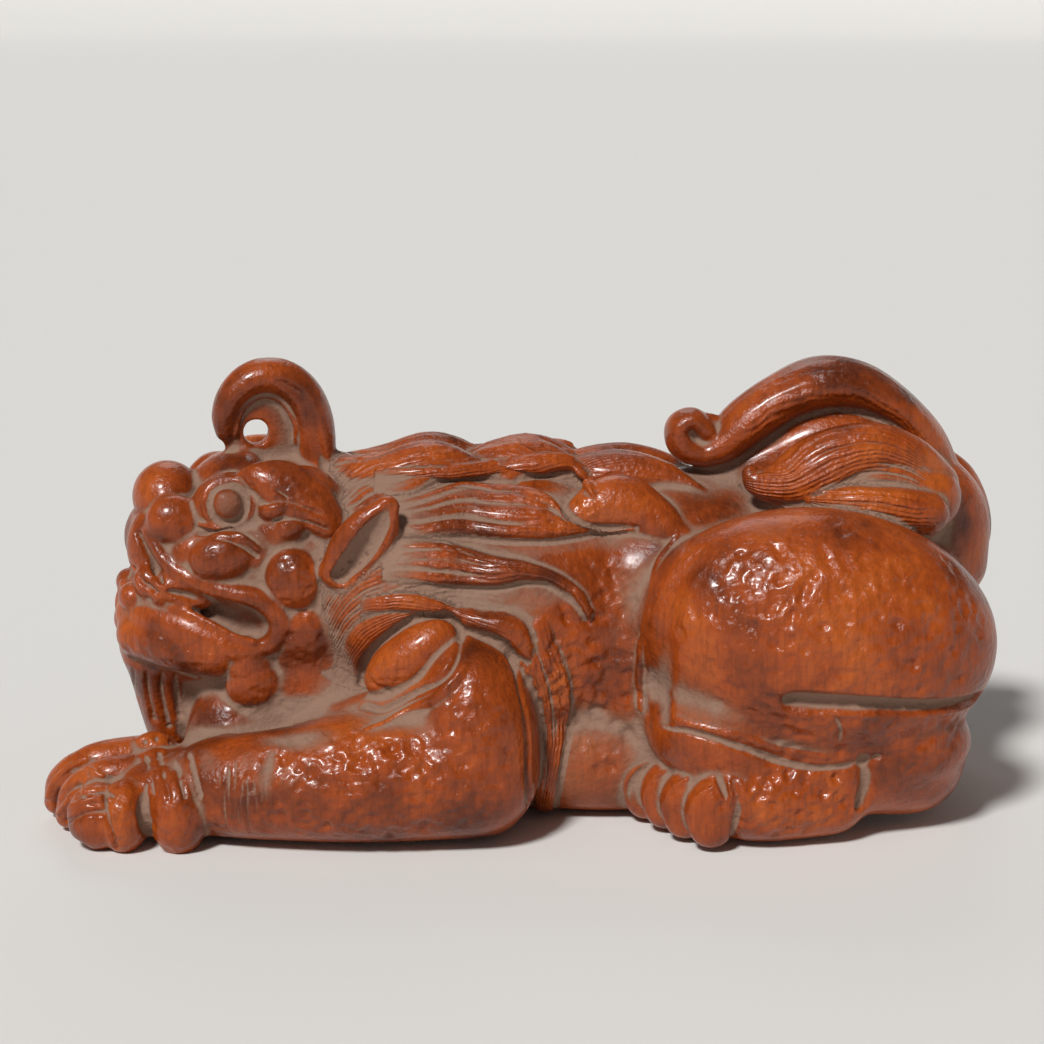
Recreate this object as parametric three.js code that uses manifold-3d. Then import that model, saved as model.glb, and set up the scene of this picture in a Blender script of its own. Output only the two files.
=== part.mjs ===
// A one-horned guardian beast lying on its belly, carved in the round from one small block of boxwood.
// It is modelled as its carved regions: trunk, mane, head, jaw, horn, ears, legs, paws and tail locks.
// Each region is its own closed solid, and a narrow carver's seam separates it from its neighbours.
// Millimetres. +X runs from head to tail, +Y to the animal's right, +Z up, and z = 0 is the table.
import * as THREE from "three";
import { mergeVertices } from "three/addons/utils/BufferGeometryUtils.js";
import Module from "manifold-3d";

const wasm = await Module();
wasm.setup();

// Driving sizes of the carving
const seam = 0.35; // clearance left between two neighbouring regions
const facet = 3.8; // aimed length of a facet edge
const finestSides = 16; // most facets round any form
const coarsestSides = 7; // fewest facets round any form

// Trunk
const backHeight = 29.4; // top of the ribs over the table
const chestHalfWidth = 13.2;
const chestHalfLength = 17;
const bellyHalfWidth = 12.4;
const bellyHalfLength = 16;
const bellyPlaned = 0.6; // depth planed off the belly, which gives the face it rests on
const bellyRollRadius = 5.4; // the roll of flesh along the foot of each flank
const bellyRollSpread = 6.4;
const rumpHalfWidth = 12.2;
const rumpHalfLength = 14;
const rumpHeight = 28;
const neckHalfLength = 12;
const neckHalfWidth = 9.6;
const shoulderX = -1;
const bellyX = 13;
const hipX = 25.6;

// Head, in its own frame: forward, towards the animal's left, and up
const headX = -20;
const headY = -1;
const headZ = 20;
const headTurn = 12; // degrees that the head looks to the animal's left
const skullHalfLength = 9.6;
const skullHalfWidth = 10;
const skullHalfHeight = 8.4;
const snoutLength = 11; // from the middle of the skull to the nose
const snoutRadius = 7.4;
const noseHalfWidth = 4.4; // from the middle of the nose to a nostril's wing
const lipRadius = 1.35;
const mouthSlit = 1.5; // half height of the open mouth
const mouthSlope = 20; // degrees that the mouth falls towards its corner
const jawHalfWidth = 7.6;
const jawDrop = 5.6; // from the middle of the skull down to the jaw
const beardLength = 9.4;
const earLength = 7.8;

// Horn
const hornRise = 8.4; // height of the horn's curl over its root
const hornReach = 8; // length of the horn's curl
const hornRootRadius = 2.3;
const hornTipRadius = 0.9;
const hornDepth = 1.45; // the horn's width over its thickness
const hornWeb = 1.6; // thickness of the web inside the curl
const hornEyeRadius = 1.1; // the small hole drilled through the curl

// Legs
const legSpread = 14.5; // from the spine to the middle of a foreleg
const forearmRadius = 5.9;
const wristRadius = 4.3;
const elbowHalfHeight = 8.8;
const pawX = -29;
const rightPawBack = 6.5; // the right forepaw is drawn back under the chin
const toeRadius = 1.6;
const haunchSpread = 11.6;
const haunchHalfLength = 15;
const haunchHalfWidth = 8.6;
const haunchHalfHeight = 10.7;
const shankRadius = 5.1;
const thighFold = 1.1; // half height and depth of the fold between the thigh and the shank
const footRadius = 4.4;
const footX = 14.2;
const footLength = 10.8;
const hindToes = 4;
const hindToePitch = 2.5; // from one hind toe to the next

// Tail and mane
const tailRootX = 33;
const tailHeight = 38.7; // top of the tail's highest lock
const tailLockRadius = 3.2;
const maneLockHeight = 1.9; // half height of a lock on the flank at its broadest
const maneLockFlatness = 0.7; // how far a flank lock stands out, over its half height
const spineLockRadius = 2.5; // half breadth of a lock on the spine at its broadest
const maneHalfLength = 12;
const maneHalfWidth = 12.4;
const maneHalfHeight = 10.4;

const boxwood = { color: 0xa8480f, roughness: 0.38, metalness: 0 };
const dustyBoxwood = { color: 0x8c5636, roughness: 0.6, metalness: 0 };

const degrees = THREE.MathUtils.degToRad;

// A closed three.js geometry as a solid that can be joined and cut.
function solidOf(geometry) {
  const bare = geometry.index ? geometry.toNonIndexed() : geometry.clone();
  bare.deleteAttribute("normal");
  bare.deleteAttribute("uv");
  const merged = mergeVertices(bare, 1e-4);
  return new wasm.Manifold(
    new wasm.Mesh({
      numProp: 3,
      vertProperties: merged.attributes.position.array,
      triVerts: new Uint32Array(merged.index.array),
    }),
  );
}

// A solid's surface as a three.js geometry with its own normals.
function geometryOf(solid) {
  const { vertProperties, triVerts } = solid.getMesh();
  const geometry = new THREE.BufferGeometry();
  geometry.setAttribute("position", new THREE.BufferAttribute(vertProperties, 3));
  geometry.setIndex(new THREE.BufferAttribute(triVerts, 1));
  geometry.computeVertexNormals();
  return geometry;
}

// How many facets go round a circle of this radius.
function sidesFor(radius) {
  const wanted = Math.round((2 * Math.PI * radius) / facet);
  return THREE.MathUtils.clamp(wanted, coarsestSides, finestSides);
}

// A rounded mass: an ellipsoid at a centre, turned by three angles in degrees.
function mass(centre, radii, turn = [0, 0, 0]) {
  return (grow) => {
    const sides = sidesFor(Math.max(...radii));
    const geometry = new THREE.SphereGeometry(1, sides, Math.ceil(sides * 0.5));
    geometry.scale(...radii.map((radius) => radius + grow));
    geometry.applyMatrix4(
      new THREE.Matrix4().makeRotationFromEuler(new THREE.Euler(...turn.map(degrees))),
    );
    geometry.translate(...centre);
    return solidOf(geometry);
  };
}

// A tapering limb or lock: rings along a smooth line through stations [x, y, z, radius], with round ends.
// It is wide times as broad across as it is thick, or as broad to each side as a station's fifth number.
function limb(stations, wide = 1, across = [0, 1, 0]) {
  return (grow) => {
    const line = new THREE.CatmullRomCurve3(
      stations.map(([x, y, z]) => new THREE.Vector3(x, y, z)),
    );
    const spans = stations.length - 1;
    const breadths = stations.map(([, , , radius, breadth = radius * wide]) => breadth);
    const sides = sidesFor(Math.max(...breadths, ...stations.map((station) => station[3])));
    const steps = Math.max(spans, Math.round(line.getLength() / facet));
    const capRings = 2;
    const side = new THREE.Vector3(...across);
    const sizesAt = (t) => {
      const at = Math.min(Math.floor(t * spans), spans - 1);
      const between = (a, b) => THREE.MathUtils.lerp(a, b, t * spans - at);
      return [
        between(stations[at][3], stations[at + 1][3]),
        between(breadths[at], breadths[at + 1]),
      ];
    };
    const rings = [];
    const addRing = (t, ahead, shrink) => {
      const tangent = line.getTangent(t);
      const [thickness, breadth] = sizesAt(t).map((size) => size + grow);
      const centre = line.getPoint(t).addScaledVector(tangent, ahead * thickness);
      const broad = side.clone().addScaledVector(tangent, -side.dot(tangent)).normalize();
      const thick = tangent.clone().cross(broad);
      const ring = [];
      for (let i = 0; i < sides; i++) {
        const angle = (2 * Math.PI * i) / sides;
        const point = centre.clone().addScaledVector(broad, breadth * shrink * Math.cos(angle));
        ring.push(point.addScaledVector(thick, thickness * shrink * Math.sin(angle)));
      }
      rings.push(ring);
    };
    for (let k = capRings; k > 0; k--) {
      const angle = (Math.PI / 2) * (k / (capRings + 0.5));
      addRing(0, -Math.sin(angle), Math.cos(angle));
    }
    for (let i = 0; i <= steps; i++) addRing(i / steps, 0, 1);
    for (let k = 1; k <= capRings; k++) {
      const angle = (Math.PI / 2) * (k / (capRings + 0.5));
      addRing(1, Math.sin(angle), Math.cos(angle));
    }
    return solidOf(closedLoft(rings));
  };
}

// The skin over a row of rings, closed at both ends by a fan.
function closedLoft(rings) {
  const sides = rings[0].length;
  const points = rings.flat();
  const triangles = [];
  for (let r = 0; r + 1 < rings.length; r++)
    for (let i = 0; i < sides; i++) {
      const a = r * sides + i;
      const b = r * sides + ((i + 1) % sides);
      triangles.push(a, b, b + sides, a, b + sides, a + sides);
    }
  const middleOf = (ring) =>
    ring.reduce((sum, p) => sum.add(p), new THREE.Vector3()).divideScalar(ring.length);
  const first = points.push(middleOf(rings[0])) - 1;
  const last = points.push(middleOf(rings.at(-1))) - 1;
  const tail = (rings.length - 1) * sides;
  for (let i = 0; i < sides; i++) {
    const next = (i + 1) % sides;
    triangles.push(first, next, i, last, tail + i, tail + next);
  }
  const geometry = new THREE.BufferGeometry().setFromPoints(points);
  geometry.setIndex(triangles);
  return geometry;
}

// A point of the head's own frame, forward, left and up of the skull's middle, in the part's frame.
function onHead(forward, left, up) {
  const turn = degrees(headTurn);
  return [
    headX - forward * Math.cos(turn) + left * Math.sin(turn),
    headY - forward * Math.sin(turn) - left * Math.cos(turn),
    headZ + up,
  ];
}
const headAcross = [Math.sin(degrees(headTurn)), -Math.cos(degrees(headTurn)), 0];

function headMass(place, radii, pitch = 0) {
  return mass(onHead(...place), radii, [0, pitch, headTurn]);
}

function headLimb(stations, wide) {
  return limb(
    stations.map(([f, l, u, r]) => [...onHead(f, l, u), r]),
    wide,
    headAcross,
  );
}

// The animal's left is side -1 and its right is side 1.
const bothSides = [
  ["left", -1],
  ["right", 1],
];

// The great masses that the locks of hair lie on, each as its middle and its half sizes.
const ribs = backHeight / 2 + 1.2;
const chest = [
  [shoulderX, 0, ribs],
  [chestHalfLength, chestHalfWidth, backHeight - ribs],
];
const belly = [
  [bellyX, 0, backHeight / 2 - bellyPlaned],
  [bellyHalfLength, bellyHalfWidth, backHeight / 2],
];
const neckHair = [
  [shoulderX - 8.6, -0.4, backHeight - maneHalfHeight + 0.4],
  [maneHalfLength, maneHalfWidth, maneHalfHeight],
];

// How far the masses reach along one axis, 1 for y and 2 for z, over a place on the other two.
function reachOf(axis, x, other) {
  const cross = 3 - axis;
  const reaches = [chest, belly, neckHair].map(([centre, half]) => {
    const rest =
      1 - ((x - centre[0]) / half[0]) ** 2 - ((other - centre[cross]) / half[cross]) ** 2;
    const base = axis === 2 ? centre[2] : 0;
    return rest > 0 ? base + half[axis] * Math.sqrt(rest) : 0;
  });
  return Math.max(...reaches);
}

// The trunk: chest, belly, rump and the neck that carries the head.
function trunkForms() {
  return [
    mass(...chest),
    mass(...belly),
    mass([hipX, 0, rumpHeight / 2 + 1], [rumpHalfLength, rumpHalfWidth, rumpHeight / 2 - 1]),
    mass([headX + 2, headY, headZ / 2], [neckHalfLength, neckHalfWidth, headZ / 2 - 1.2]),
    ...bothSides.map(([, side]) =>
      limb([
        [shoulderX - 4, bellyRollSpread * side, bellyRollRadius - 0.2, bellyRollRadius],
        [bellyX, bellyRollSpread * side, bellyRollRadius - 0.2, bellyRollRadius],
        [hipX - 6, bellyRollSpread * side, bellyRollRadius - 0.2, bellyRollRadius],
      ]),
    ),
  ];
}

// The skull, snout, nose, cheeks, brows, eyes and the upper lip round the corners of the mouth.
function headForms() {
  const forms = [
    headMass([0, 0, 1], [skullHalfLength, skullHalfWidth, skullHalfHeight]),
    headLimb([
      [2, 0, 3, snoutRadius],
      [snoutLength - 3.5, 0, 4.2, snoutRadius - 2.4],
      [snoutLength, 0, 6.6, 3],
    ]),
    headLimb([
      [-3.5, 0, skullHalfHeight - 1.9, 4],
      [4, 0, skullHalfHeight - 0.4, 2.6],
    ]),
  ];
  for (const side of [-1, 1]) {
    const across = (inset) => (skullHalfWidth - inset) * side;
    forms.push(
      headMass([snoutLength - 0.7, noseHalfWidth * side, 5.9], [2.7, 2.4, 3.3]),
      headMass([snoutLength - 4.2, across(2.2), 3.4], [3.5, 2.7, 2.9]),
      headMass([1.2, across(1.2), 1.7], [3.4, 3.1, 3.8]),
      headMass([0.8, across(3.7), skullHalfHeight - 1.4], [5, 3.5, 2.9], 25),
      headMass([6.1, across(3.8), skullHalfHeight - 1.2], [1.8, 1.5, 1.8]),
      headLimb([
        [snoutLength + 2, noseHalfWidth * 0.45 * side, 3, lipRadius],
        [snoutLength, (noseHalfWidth + 0.6) * side, 2, lipRadius],
        [snoutLength - 2, across(2.6), 0, lipRadius],
        [snoutLength - 6, across(1), -1.2, lipRadius],
        [snoutLength - 8.4, across(1), -2.8, lipRadius],
        [snoutLength - 7, across(1.2), -4.6, lipRadius],
      ]),
    );
  }
  return forms;
}

// The open mouth, cut right through from cheek to cheek.
function mouthForms() {
  return [
    headMass([snoutLength - 0.5, 0, -0.4], [9, skullHalfWidth + 2, mouthSlit], -mouthSlope),
  ];
}

// The lower jaw with its tongue, the beard under the chin and a beard curl behind each cheek.
function jawForms() {
  const chin = snoutLength + 0.4;
  const forms = [
    headMass([7, 0, -jawDrop], [8, jawHalfWidth, 4.4]),
    headLimb([
      [chin, 0, 0.4 - jawDrop, 3.9],
      [chin - 0.2, 0, 0.4 - jawDrop - 0.55 * beardLength, 3],
      [chin - 0.8, 0, 0.4 - jawDrop - beardLength, 2],
    ], 1.3),
    headMass([7, 0, 4.4 - jawDrop], [6, jawHalfWidth - 2, 2.2], -mouthSlope),
  ];
  for (const side of [-1, 1])
    forms.push(headMass([4.9, (jawHalfWidth + 0.2) * side, -jawDrop - 1], [3.3, 2.6, 3.4]));
  return forms;
}

// The horn curls forward over the brow, with a thin web inside the curl.
const hornRoot = skullHalfHeight + 0.2;
const hornTipX = hornReach - 3;

function hornForms() {
  return [
    headLimb(
      [
        [-2.2, 0, hornRoot - 1.5, hornRootRadius],
        [-2.8, 0, hornRoot + 0.42 * hornRise, hornRootRadius - 0.3],
        [-1.9, 0, hornRoot + 0.84 * hornRise, hornRootRadius - 0.55],
        [hornReach * 0.45 - 2.4, 0, hornRoot + hornRise, hornRootRadius - 0.8],
        [hornTipX - 0.6, 0, hornRoot + 0.92 * hornRise, hornRootRadius - 0.95],
        [hornTipX + 0.2, 0, hornRoot + 0.62 * hornRise, hornTipRadius + 0.3],
        [hornTipX - 0.2, 0, hornRoot + 0.35 * hornRise, hornTipRadius],
      ],
      hornDepth,
    ),
    headMass([hornTipX - 4, 0, hornRoot + 0.5 * hornRise], [3.8, hornWeb / 2, 4.4]),
  ];
}

// The small hole through the web.
function hornEyeForms() {
  const height = hornRoot + 0.43 * hornRise;
  return [
    headLimb([
      [hornTipX - 2.6, -hornWeb, height, hornEyeRadius],
      [hornTipX - 2.6, hornWeb, height, hornEyeRadius],
    ]),
  ];
}

// The ear on the animal's left stands up. The right one lies lower against the mane.
function earForms(side) {
  const lift = side > 0 ? 1 : 0.6;
  const base = (out) => (skullHalfWidth + out) * side;
  return [
    headLimb(
      [
        [-2.4, base(-0.6), 0.6, 2.2],
        [-3.6, base(1.6), 0.6 + 0.38 * earLength * lift, 2.6],
        [-5.6, base(2.6), 0.6 + 0.77 * earLength * lift, 1.7],
        [-6.6, base(2.8), 0.6 + earLength * lift, 0.7],
      ],
      0.5,
    ),
  ];
}

// A foreleg: the shoulder's bulge, the elbow and the forearm that lies along the table.
function forelegForms(side) {
  const drawn = side > 0 ? rightPawBack : 0;
  const spread = (out) => (legSpread + out) * side;
  const reach = shoulderX - pawX;
  return [
    mass(
      [shoulderX - 8, spread(-2.1), 2 * elbowHalfHeight - 2.4],
      [6, 3.8, 3.9],
      [0, -32, 0],
    ),
    mass([shoulderX - 2.6, spread(-0.6), elbowHalfHeight - 0.3], [6, 6, elbowHalfHeight]),
    limb([
      [shoulderX - 2, spread(0), 6.2, forearmRadius],
      [shoulderX - 0.43 * reach + 0.4 * drawn, spread(0.8), 5.8, forearmRadius - 0.3],
      [shoulderX - 0.71 * reach + 0.8 * drawn, spread(0.4), 4.9, wristRadius + 0.4],
      [pawX + 3.5 + drawn, spread(-0.4), 4.5, wristRadius],
    ]),
  ];
}

// A forepaw: its pad, the outer digit and three toes, the outer one the biggest.
function forepawForms(side) {
  const heel = pawX + (side > 0 ? rightPawBack : 0);
  const across = (out) => (legSpread + out) * side;
  const toes = [
    [
      [heel - 2, across(-5.9), 5.6, toeRadius + 0.1],
      [heel - 7, across(-4.9), 5.1, toeRadius + 0.15],
      [heel - 9.9, across(-5.1), 3.4, toeRadius],
      [heel - 11, across(-5.3), 1.5, toeRadius - 0.4],
    ],
    [
      [heel - 2, across(-2.1), 5.2, toeRadius],
      [heel - 5.6, across(-1.5), 5, toeRadius],
      [heel - 8.2, across(-1.7), 3.6, toeRadius - 0.1],
      [heel - 9.2, across(-2.1), 1.4, toeRadius - 0.4],
    ],
  ];
  const knuckles = [
    [heel - 1.6, across(-1.9), 6.2],
    [heel - 2.4, across(-5.1), 6.6],
    [heel - 0.6, across(1.1), 5.6],
  ];
  return [
    mass([heel, across(-1.8), 3.4], [6, 5.6, 3.6]),
    mass([heel + 0.7, across(1.9), 3], [2.5, 3, 3.6]),
    mass([heel - 6, across(1.6), 2.6], [2.6, 2.7, 2.8]),
    mass([heel - 3.8, across(1.9), 2.7], [2.1, 2.9, 3.1]),
    ...toes.map((toe) => limb(toe)),
    ...knuckles.map((knuckle) => mass(knuckle, [1.7, 1.4, 1.1])),
  ];
}

// A haunch: the great round thigh, the knee in front of it and the shank folded under it.
function haunchForms(side) {
  const spread = (out) => (haunchSpread + out) * side;
  return [
    mass(
      [hipX - 1, spread(0), 6.2 + haunchHalfHeight],
      [haunchHalfLength, haunchHalfWidth, haunchHalfHeight],
      [0, 6, 0],
    ),
    mass([hipX - 8.1, spread(0.8), 9.6], [7.2, 5.8, 6]),
    limb([
      [hipX - 7.6, spread(0.8), shankRadius + 3.1, shankRadius],
      [hipX + 1.4, spread(0.4), shankRadius + 1.7, shankRadius],
      [hipX + 7, spread(-1.8), shankRadius + 0.7, shankRadius],
    ]),
    mass([hipX + 4.9, spread(-0.2), 8.2], [7.4, 5.6, 4.4], [0, 6, 0]),
  ];
}

// The fold between the thigh and the shank, cut in along the thigh's side.
function thighFoldForms(side) {
  const out = (inset) => (haunchSpread + haunchHalfWidth - inset) * side;
  return [
    limb([
      [hipX - 3.8, out(0.1), 13.3, thighFold - 0.1],
      [hipX - 0.1, out(0.2), 13.2, thighFold],
      [hipX + 3.4, out(0.6), 12.9, thighFold - 0.1],
      [hipX + 7.4, out(2), 12.5, thighFold - 0.2],
      [hipX + 11.9, out(5.9), 12.2, thighFold - 0.3],
    ]),
  ];
}

// A hind paw: the foot along the table and its four toes.
function hindpawForms(side) {
  const spread = (out) => (haunchSpread + out) * side;
  const forms = [
    limb([
      [footX + footLength, spread(2.8), footRadius - 0.8, footRadius - 0.8],
      [footX + footLength * 0.44, spread(3.2), footRadius - 0.2, footRadius],
      [footX, spread(2.4), footRadius + 0.2, footRadius - 0.2],
    ]),
  ];
  for (let i = 0; i < hindToes; i++) {
    const root = footX + 2.6 - 2 * i;
    const along = spread(6 - hindToePitch * i);
    forms.push(
      limb([
        [root + 2, along, footRadius + 0.2, 1.9],
        [root, along, footRadius, 1.9],
        [root - 1.9, along, 1.9, 1.2],
      ]),
    );
  }
  return forms;
}

// The tail's locks sweep forward over the rump. Each has its stations [x, y, z, radius].
function tailLocks() {
  const x = tailRootX;
  const low = rumpHeight;
  const top = tailHeight - tailLockRadius;
  const thick = tailLockRadius;
  return {
    tail_root: [
      [x + 5, 2, low - 8, thick + 0.8],
      [x + 4, 2, low - 3, thick + 1.8],
      [x - 1, 1.5, low, thick + 0.8],
    ],
    tail_crest: [
      [x + 3.6, 3, low, thick],
      [x + 0.6, 3, low + 4, thick],
      [x - 5.5, 2, top, thick],
      [x - 11, 0.5, top - 1.6, thick - 0.3],
      [x - 15.6, -0.6, low + 2, thick - 1.2],
      [x - 18.6, -1.4, low + 2.6, thick - 1.6],
      [x - 18, -1.6, low + 4.6, thick - 2],
    ],
    tail_lock_left_upper: [
      [x + 4, -2, low - 2.4, thick - 0.2],
      [x - 2, -3, low + 1.2, thick - 0.1],
      [x - 8, -4, low + 0.6, thick - 0.6],
      [x - 13.4, -4.4, low - 1.2, thick - 1.6],
      [x - 14.4, -4.4, low + 0.2, thick - 2.3],
    ],
    tail_lock_left_lower: [
      [x + 4, -6, low - 6, thick - 0.6],
      [x - 2, -6.6, low - 3.2, thick - 0.7],
      [x - 9, -6.6, low - 2, thick - 2],
    ],
    tail_lock_right_upper: [
      [x + 4, 7, low - 2.4, thick - 0.2],
      [x - 2, 8, low + 0.6, thick - 0.2],
      [x - 8, 8, low - 0.4, thick - 0.8],
      [x - 13, 7.4, low - 1.6, thick - 2],
    ],
    tail_lock_rear: [
      [x + 4.6, 8, low, thick - 1],
      [x + 8.4, 9, low - 5.6, thick - 0.5],
      [x + 8.6, 8, low - 11.6, thick - 1.9],
    ],
  };
}

// The mane: a cap of hair over the neck, with locks that stream back along each side and the spine.
function maneForms() {
  const x = shoulderX;
  const z = backHeight;
  const forms = [mass(...neckHair)];
  // flank locks from root to tip, [along, up, half breadth over maneLockHeight, share of their rise],
  // and spine locks [along, out, half breadth and rise over spineLockRadius]
  const flank = [
    [
      [x - 11, z - 0.7, 0.42, 0.23],
      [x - 7.5, z - 0.3, 0.47, 0.45],
      [x - 4, z - 0.1, 0.37, 0.6],
      [x, z + 0.1, 0.42, 0.68],
      [x + 3.8, z + 0.2, 0.42, 0.6],
      [x + 6.6, z - 0.8, 0.26, 0.3],
    ],
    [
      [x - 10, z - 2.9, 0.68, 0.23],
      [x - 7.6, z - 2.9, 0.79, 0.6],
      [x - 4.9, z - 2.7, 0.95, 0.83],
      [x - 1.8, z - 2.9, 1, 0.9],
      [x + 1.3, z - 3.1, 0.95, 0.98],
      [x + 3.3, z - 3.4, 0.74, 0.9],
      [x + 5.2, z - 4, 0.42, 0.75],
      [x + 7.8, z - 4.2, 0.21, 0.45],
    ],
    [
      [x - 10.5, z - 6.1, 0.84, 0.15],
      [x - 7.9, z - 6.2, 0.89, 0.6],
      [x - 4.6, z - 6.5, 0.84, 0.83],
      [x - 1.2, z - 7.2, 0.63, 0.98],
      [x + 1.1, z - 7.2, 0.47, 0.9],
      [x + 3.6, z - 7.8, 0.37, 0.75],
      [x + 5.5, z - 8.8, 0.32, 0.68],
      [x + 6.6, z - 10.8, 0.26, 0.53],
    ],
    [
      [x - 11.5, z - 9.7, 0.47, 0.23],
      [x - 7.5, z - 9.5, 0.53, 0.53],
      [x - 4.4, z - 10.5, 0.47, 0.6],
      [x - 1.6, z - 11.4, 0.68, 0.9],
      [x + 0.5, z - 12.2, 0.74, 1.13],
      [x + 1.6, z - 13.6, 0.42, 0.45],
    ],
  ];
  const spine = [
    [
      [x - 14.5, 2.6, 0.64, 0.16],
      [x - 11, 2.8, 0.96, 0.52],
      [x - 7, 2.6, 1.04, 0.88],
      [x - 3.5, 2.8, 0.72, 0.64],
      [x - 0.5, 3.6, 0.2, 0.12],
    ],
    [
      [x - 4.5, 1, 0.48, 0.16],
      [x - 1.5, 1, 0.88, 0.72],
      [x + 2, 1.2, 0.96, 0.92],
      [x + 5.5, 2, 0.64, 0.56],
      [x + 9, 3, 0.2, 0.12],
    ],
    [
      [x + 3.5, 1.6, 0.4, 0.16],
      [x + 6.5, 1.6, 0.88, 0.84],
      [x + 10, 1.8, 0.96, 1],
      [x + 13.2, 2.6, 0.64, 0.56],
      [x + 16.4, 4.2, 0.2, 0.12],
    ],
  ];
  // the round hump behind the flank locks, [along, out, up, half thickness, half breadth]
  const hump = [
    [x + 4.6, 7.6, z - 4, 0.8, 0.8],
    [x + 7, 6.8, z - 2.8, 1.8, 2],
    [x + 9.4, 6.4, z - 2.4, 2, 2.5],
    [x + 11.8, 6.9, z - 3.5, 1.7, 2.1],
    [x + 13.9, 7.8, z - 4.9, 1.2, 1.4],
    [x + 16.2, 8.6, z - 5.4, 0.5, 0.5],
  ];
  const root = 0.7; // half thickness of a lock under the hair that it rises from
  const lockOn = (axis, side, rows, broadest, highest) =>
    rows.map(([along, at, breadth, rise]) => {
      const tall = rise * highest;
      const thick = 0.6 * tall + root;
      const reach = reachOf(axis, along, at) + tall - thick;
      return axis === 1
        ? [along, reach * side, at, thick, breadth * broadest]
        : [along, at * side, reach, thick, breadth * broadest];
    });
  const flankRise = maneLockFlatness * maneLockHeight;
  for (const side of [-1, 1])
    forms.push(
      ...flank.map((rows) =>
        limb(lockOn(1, side, rows, maneLockHeight, flankRise), 1, [0, 0, 1]),
      ),
      ...spine.map((rows) => limb(lockOn(2, side, rows, spineLockRadius, spineLockRadius))),
      limb(
        hump.map(([along, out, ...rest]) => [along, out * side, ...rest]),
        1,
        [0, -0.6 * side, 0.8],
      ),
    );
  return forms;
}

// Every region in carving order. Each one is cut back from those before it.
// In the head's frame left is positive, so an ear takes the opposite side.
const regions = [
  { name: "trunk", forms: trunkForms(), finish: dustyBoxwood },
  { name: "head", forms: headForms(), cuts: mouthForms(), finish: boxwood },
  { name: "jaw", forms: jawForms(), finish: boxwood },
  { name: "horn", forms: hornForms(), cuts: hornEyeForms(), finish: boxwood },
];
for (const [word, side] of bothSides) {
  regions.push(
    { name: `ear_${word}`, forms: earForms(-side), finish: boxwood },
    { name: `haunch_${word}`, forms: haunchForms(side), cuts: thighFoldForms(side), finish: boxwood },
    { name: `hindpaw_${word}`, forms: hindpawForms(side), finish: boxwood },
    { name: `foreleg_${word}`, forms: forelegForms(side), finish: boxwood },
    { name: `forepaw_${word}`, forms: forepawForms(side), finish: boxwood },
  );
}
for (const [name, stations] of Object.entries(tailLocks()))
  regions.push({ name, forms: [limb(stations, 1.15)], finish: boxwood });
regions.push({ name: "mane", forms: maneForms(), finish: dustyBoxwood });

// Joins a region's forms, each grown by the same amount.
function joined(forms, grow) {
  return forms.map((form) => form(grow)).reduce((whole, next) => whole.add(next));
}

// The block under the table's level, which planes the belly, legs and paws flat.
const tableDepth = 60;
const tableBlock = solidOf(
  new THREE.BoxGeometry(200, 200, tableDepth).translate(0, 0, -tableDepth / 2),
);

const group = new THREE.Group();
let taken = null; // everything carved so far, grown by the seam
for (const { name, forms, cuts, finish } of regions) {
  let solid = joined(forms, 0).subtract(tableBlock);
  if (cuts) solid = solid.subtract(joined(cuts, 0));
  if (taken) solid = solid.subtract(taken);
  const [region] = solid.decompose().sort((a, b) => b.volume() - a.volume()); // leaves loose chips out
  const mesh = new THREE.Mesh(geometryOf(region), new THREE.MeshStandardMaterial(finish));
  mesh.name = name;
  group.add(mesh);
  const grown = joined(forms, seam);
  taken = taken ? taken.add(grown) : grown;
}

// The origin is the middle of the whole carving, on the table.
const whole = new THREE.Box3().setFromObject(group);
group.position.set(-(whole.min.x + whole.max.x) / 2, -(whole.min.y + whole.max.y) / 2, 0);

export default group;
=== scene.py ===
"""Looks of a one-horned guardian beast, carved in the round from one small block of boxwood.

The forms are laid down in millimetres as rounded masses, limbs and locks of hair, and melted into one skin.
Gouge strokes are cut into the skin, its hollows and its worn places are measured, and it is parted along its
creases into the carved regions, each of which replaces the plain solid of that name.
"""

import logging
import math
from dataclasses import dataclass, field
from enum import Enum
from functools import partial
from typing import Iterable, Sequence

import bmesh
import bpy
import numpy as np
from mathutils import Matrix, Vector
from mathutils.bvhtree import BVHTree
from mathutils.kdtree import KDTree


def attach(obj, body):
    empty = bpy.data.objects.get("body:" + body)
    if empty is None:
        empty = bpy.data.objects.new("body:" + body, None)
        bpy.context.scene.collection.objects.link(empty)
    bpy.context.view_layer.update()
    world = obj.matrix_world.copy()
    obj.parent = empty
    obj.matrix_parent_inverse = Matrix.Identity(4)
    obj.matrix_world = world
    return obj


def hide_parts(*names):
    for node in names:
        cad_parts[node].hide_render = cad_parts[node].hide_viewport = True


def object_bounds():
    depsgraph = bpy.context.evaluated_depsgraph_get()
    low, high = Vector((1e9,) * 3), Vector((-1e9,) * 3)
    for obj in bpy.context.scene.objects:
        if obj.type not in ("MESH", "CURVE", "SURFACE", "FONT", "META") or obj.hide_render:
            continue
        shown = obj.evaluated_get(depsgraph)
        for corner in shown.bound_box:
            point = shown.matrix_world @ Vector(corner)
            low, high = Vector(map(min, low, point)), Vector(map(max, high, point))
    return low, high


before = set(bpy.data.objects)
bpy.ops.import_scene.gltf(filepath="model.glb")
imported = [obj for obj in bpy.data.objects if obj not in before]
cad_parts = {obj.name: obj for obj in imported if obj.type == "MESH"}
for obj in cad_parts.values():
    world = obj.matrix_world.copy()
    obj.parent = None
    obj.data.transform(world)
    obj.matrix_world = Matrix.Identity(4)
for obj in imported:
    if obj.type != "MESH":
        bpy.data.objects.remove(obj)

log = logging.getLogger("boxwood_beast")

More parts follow.
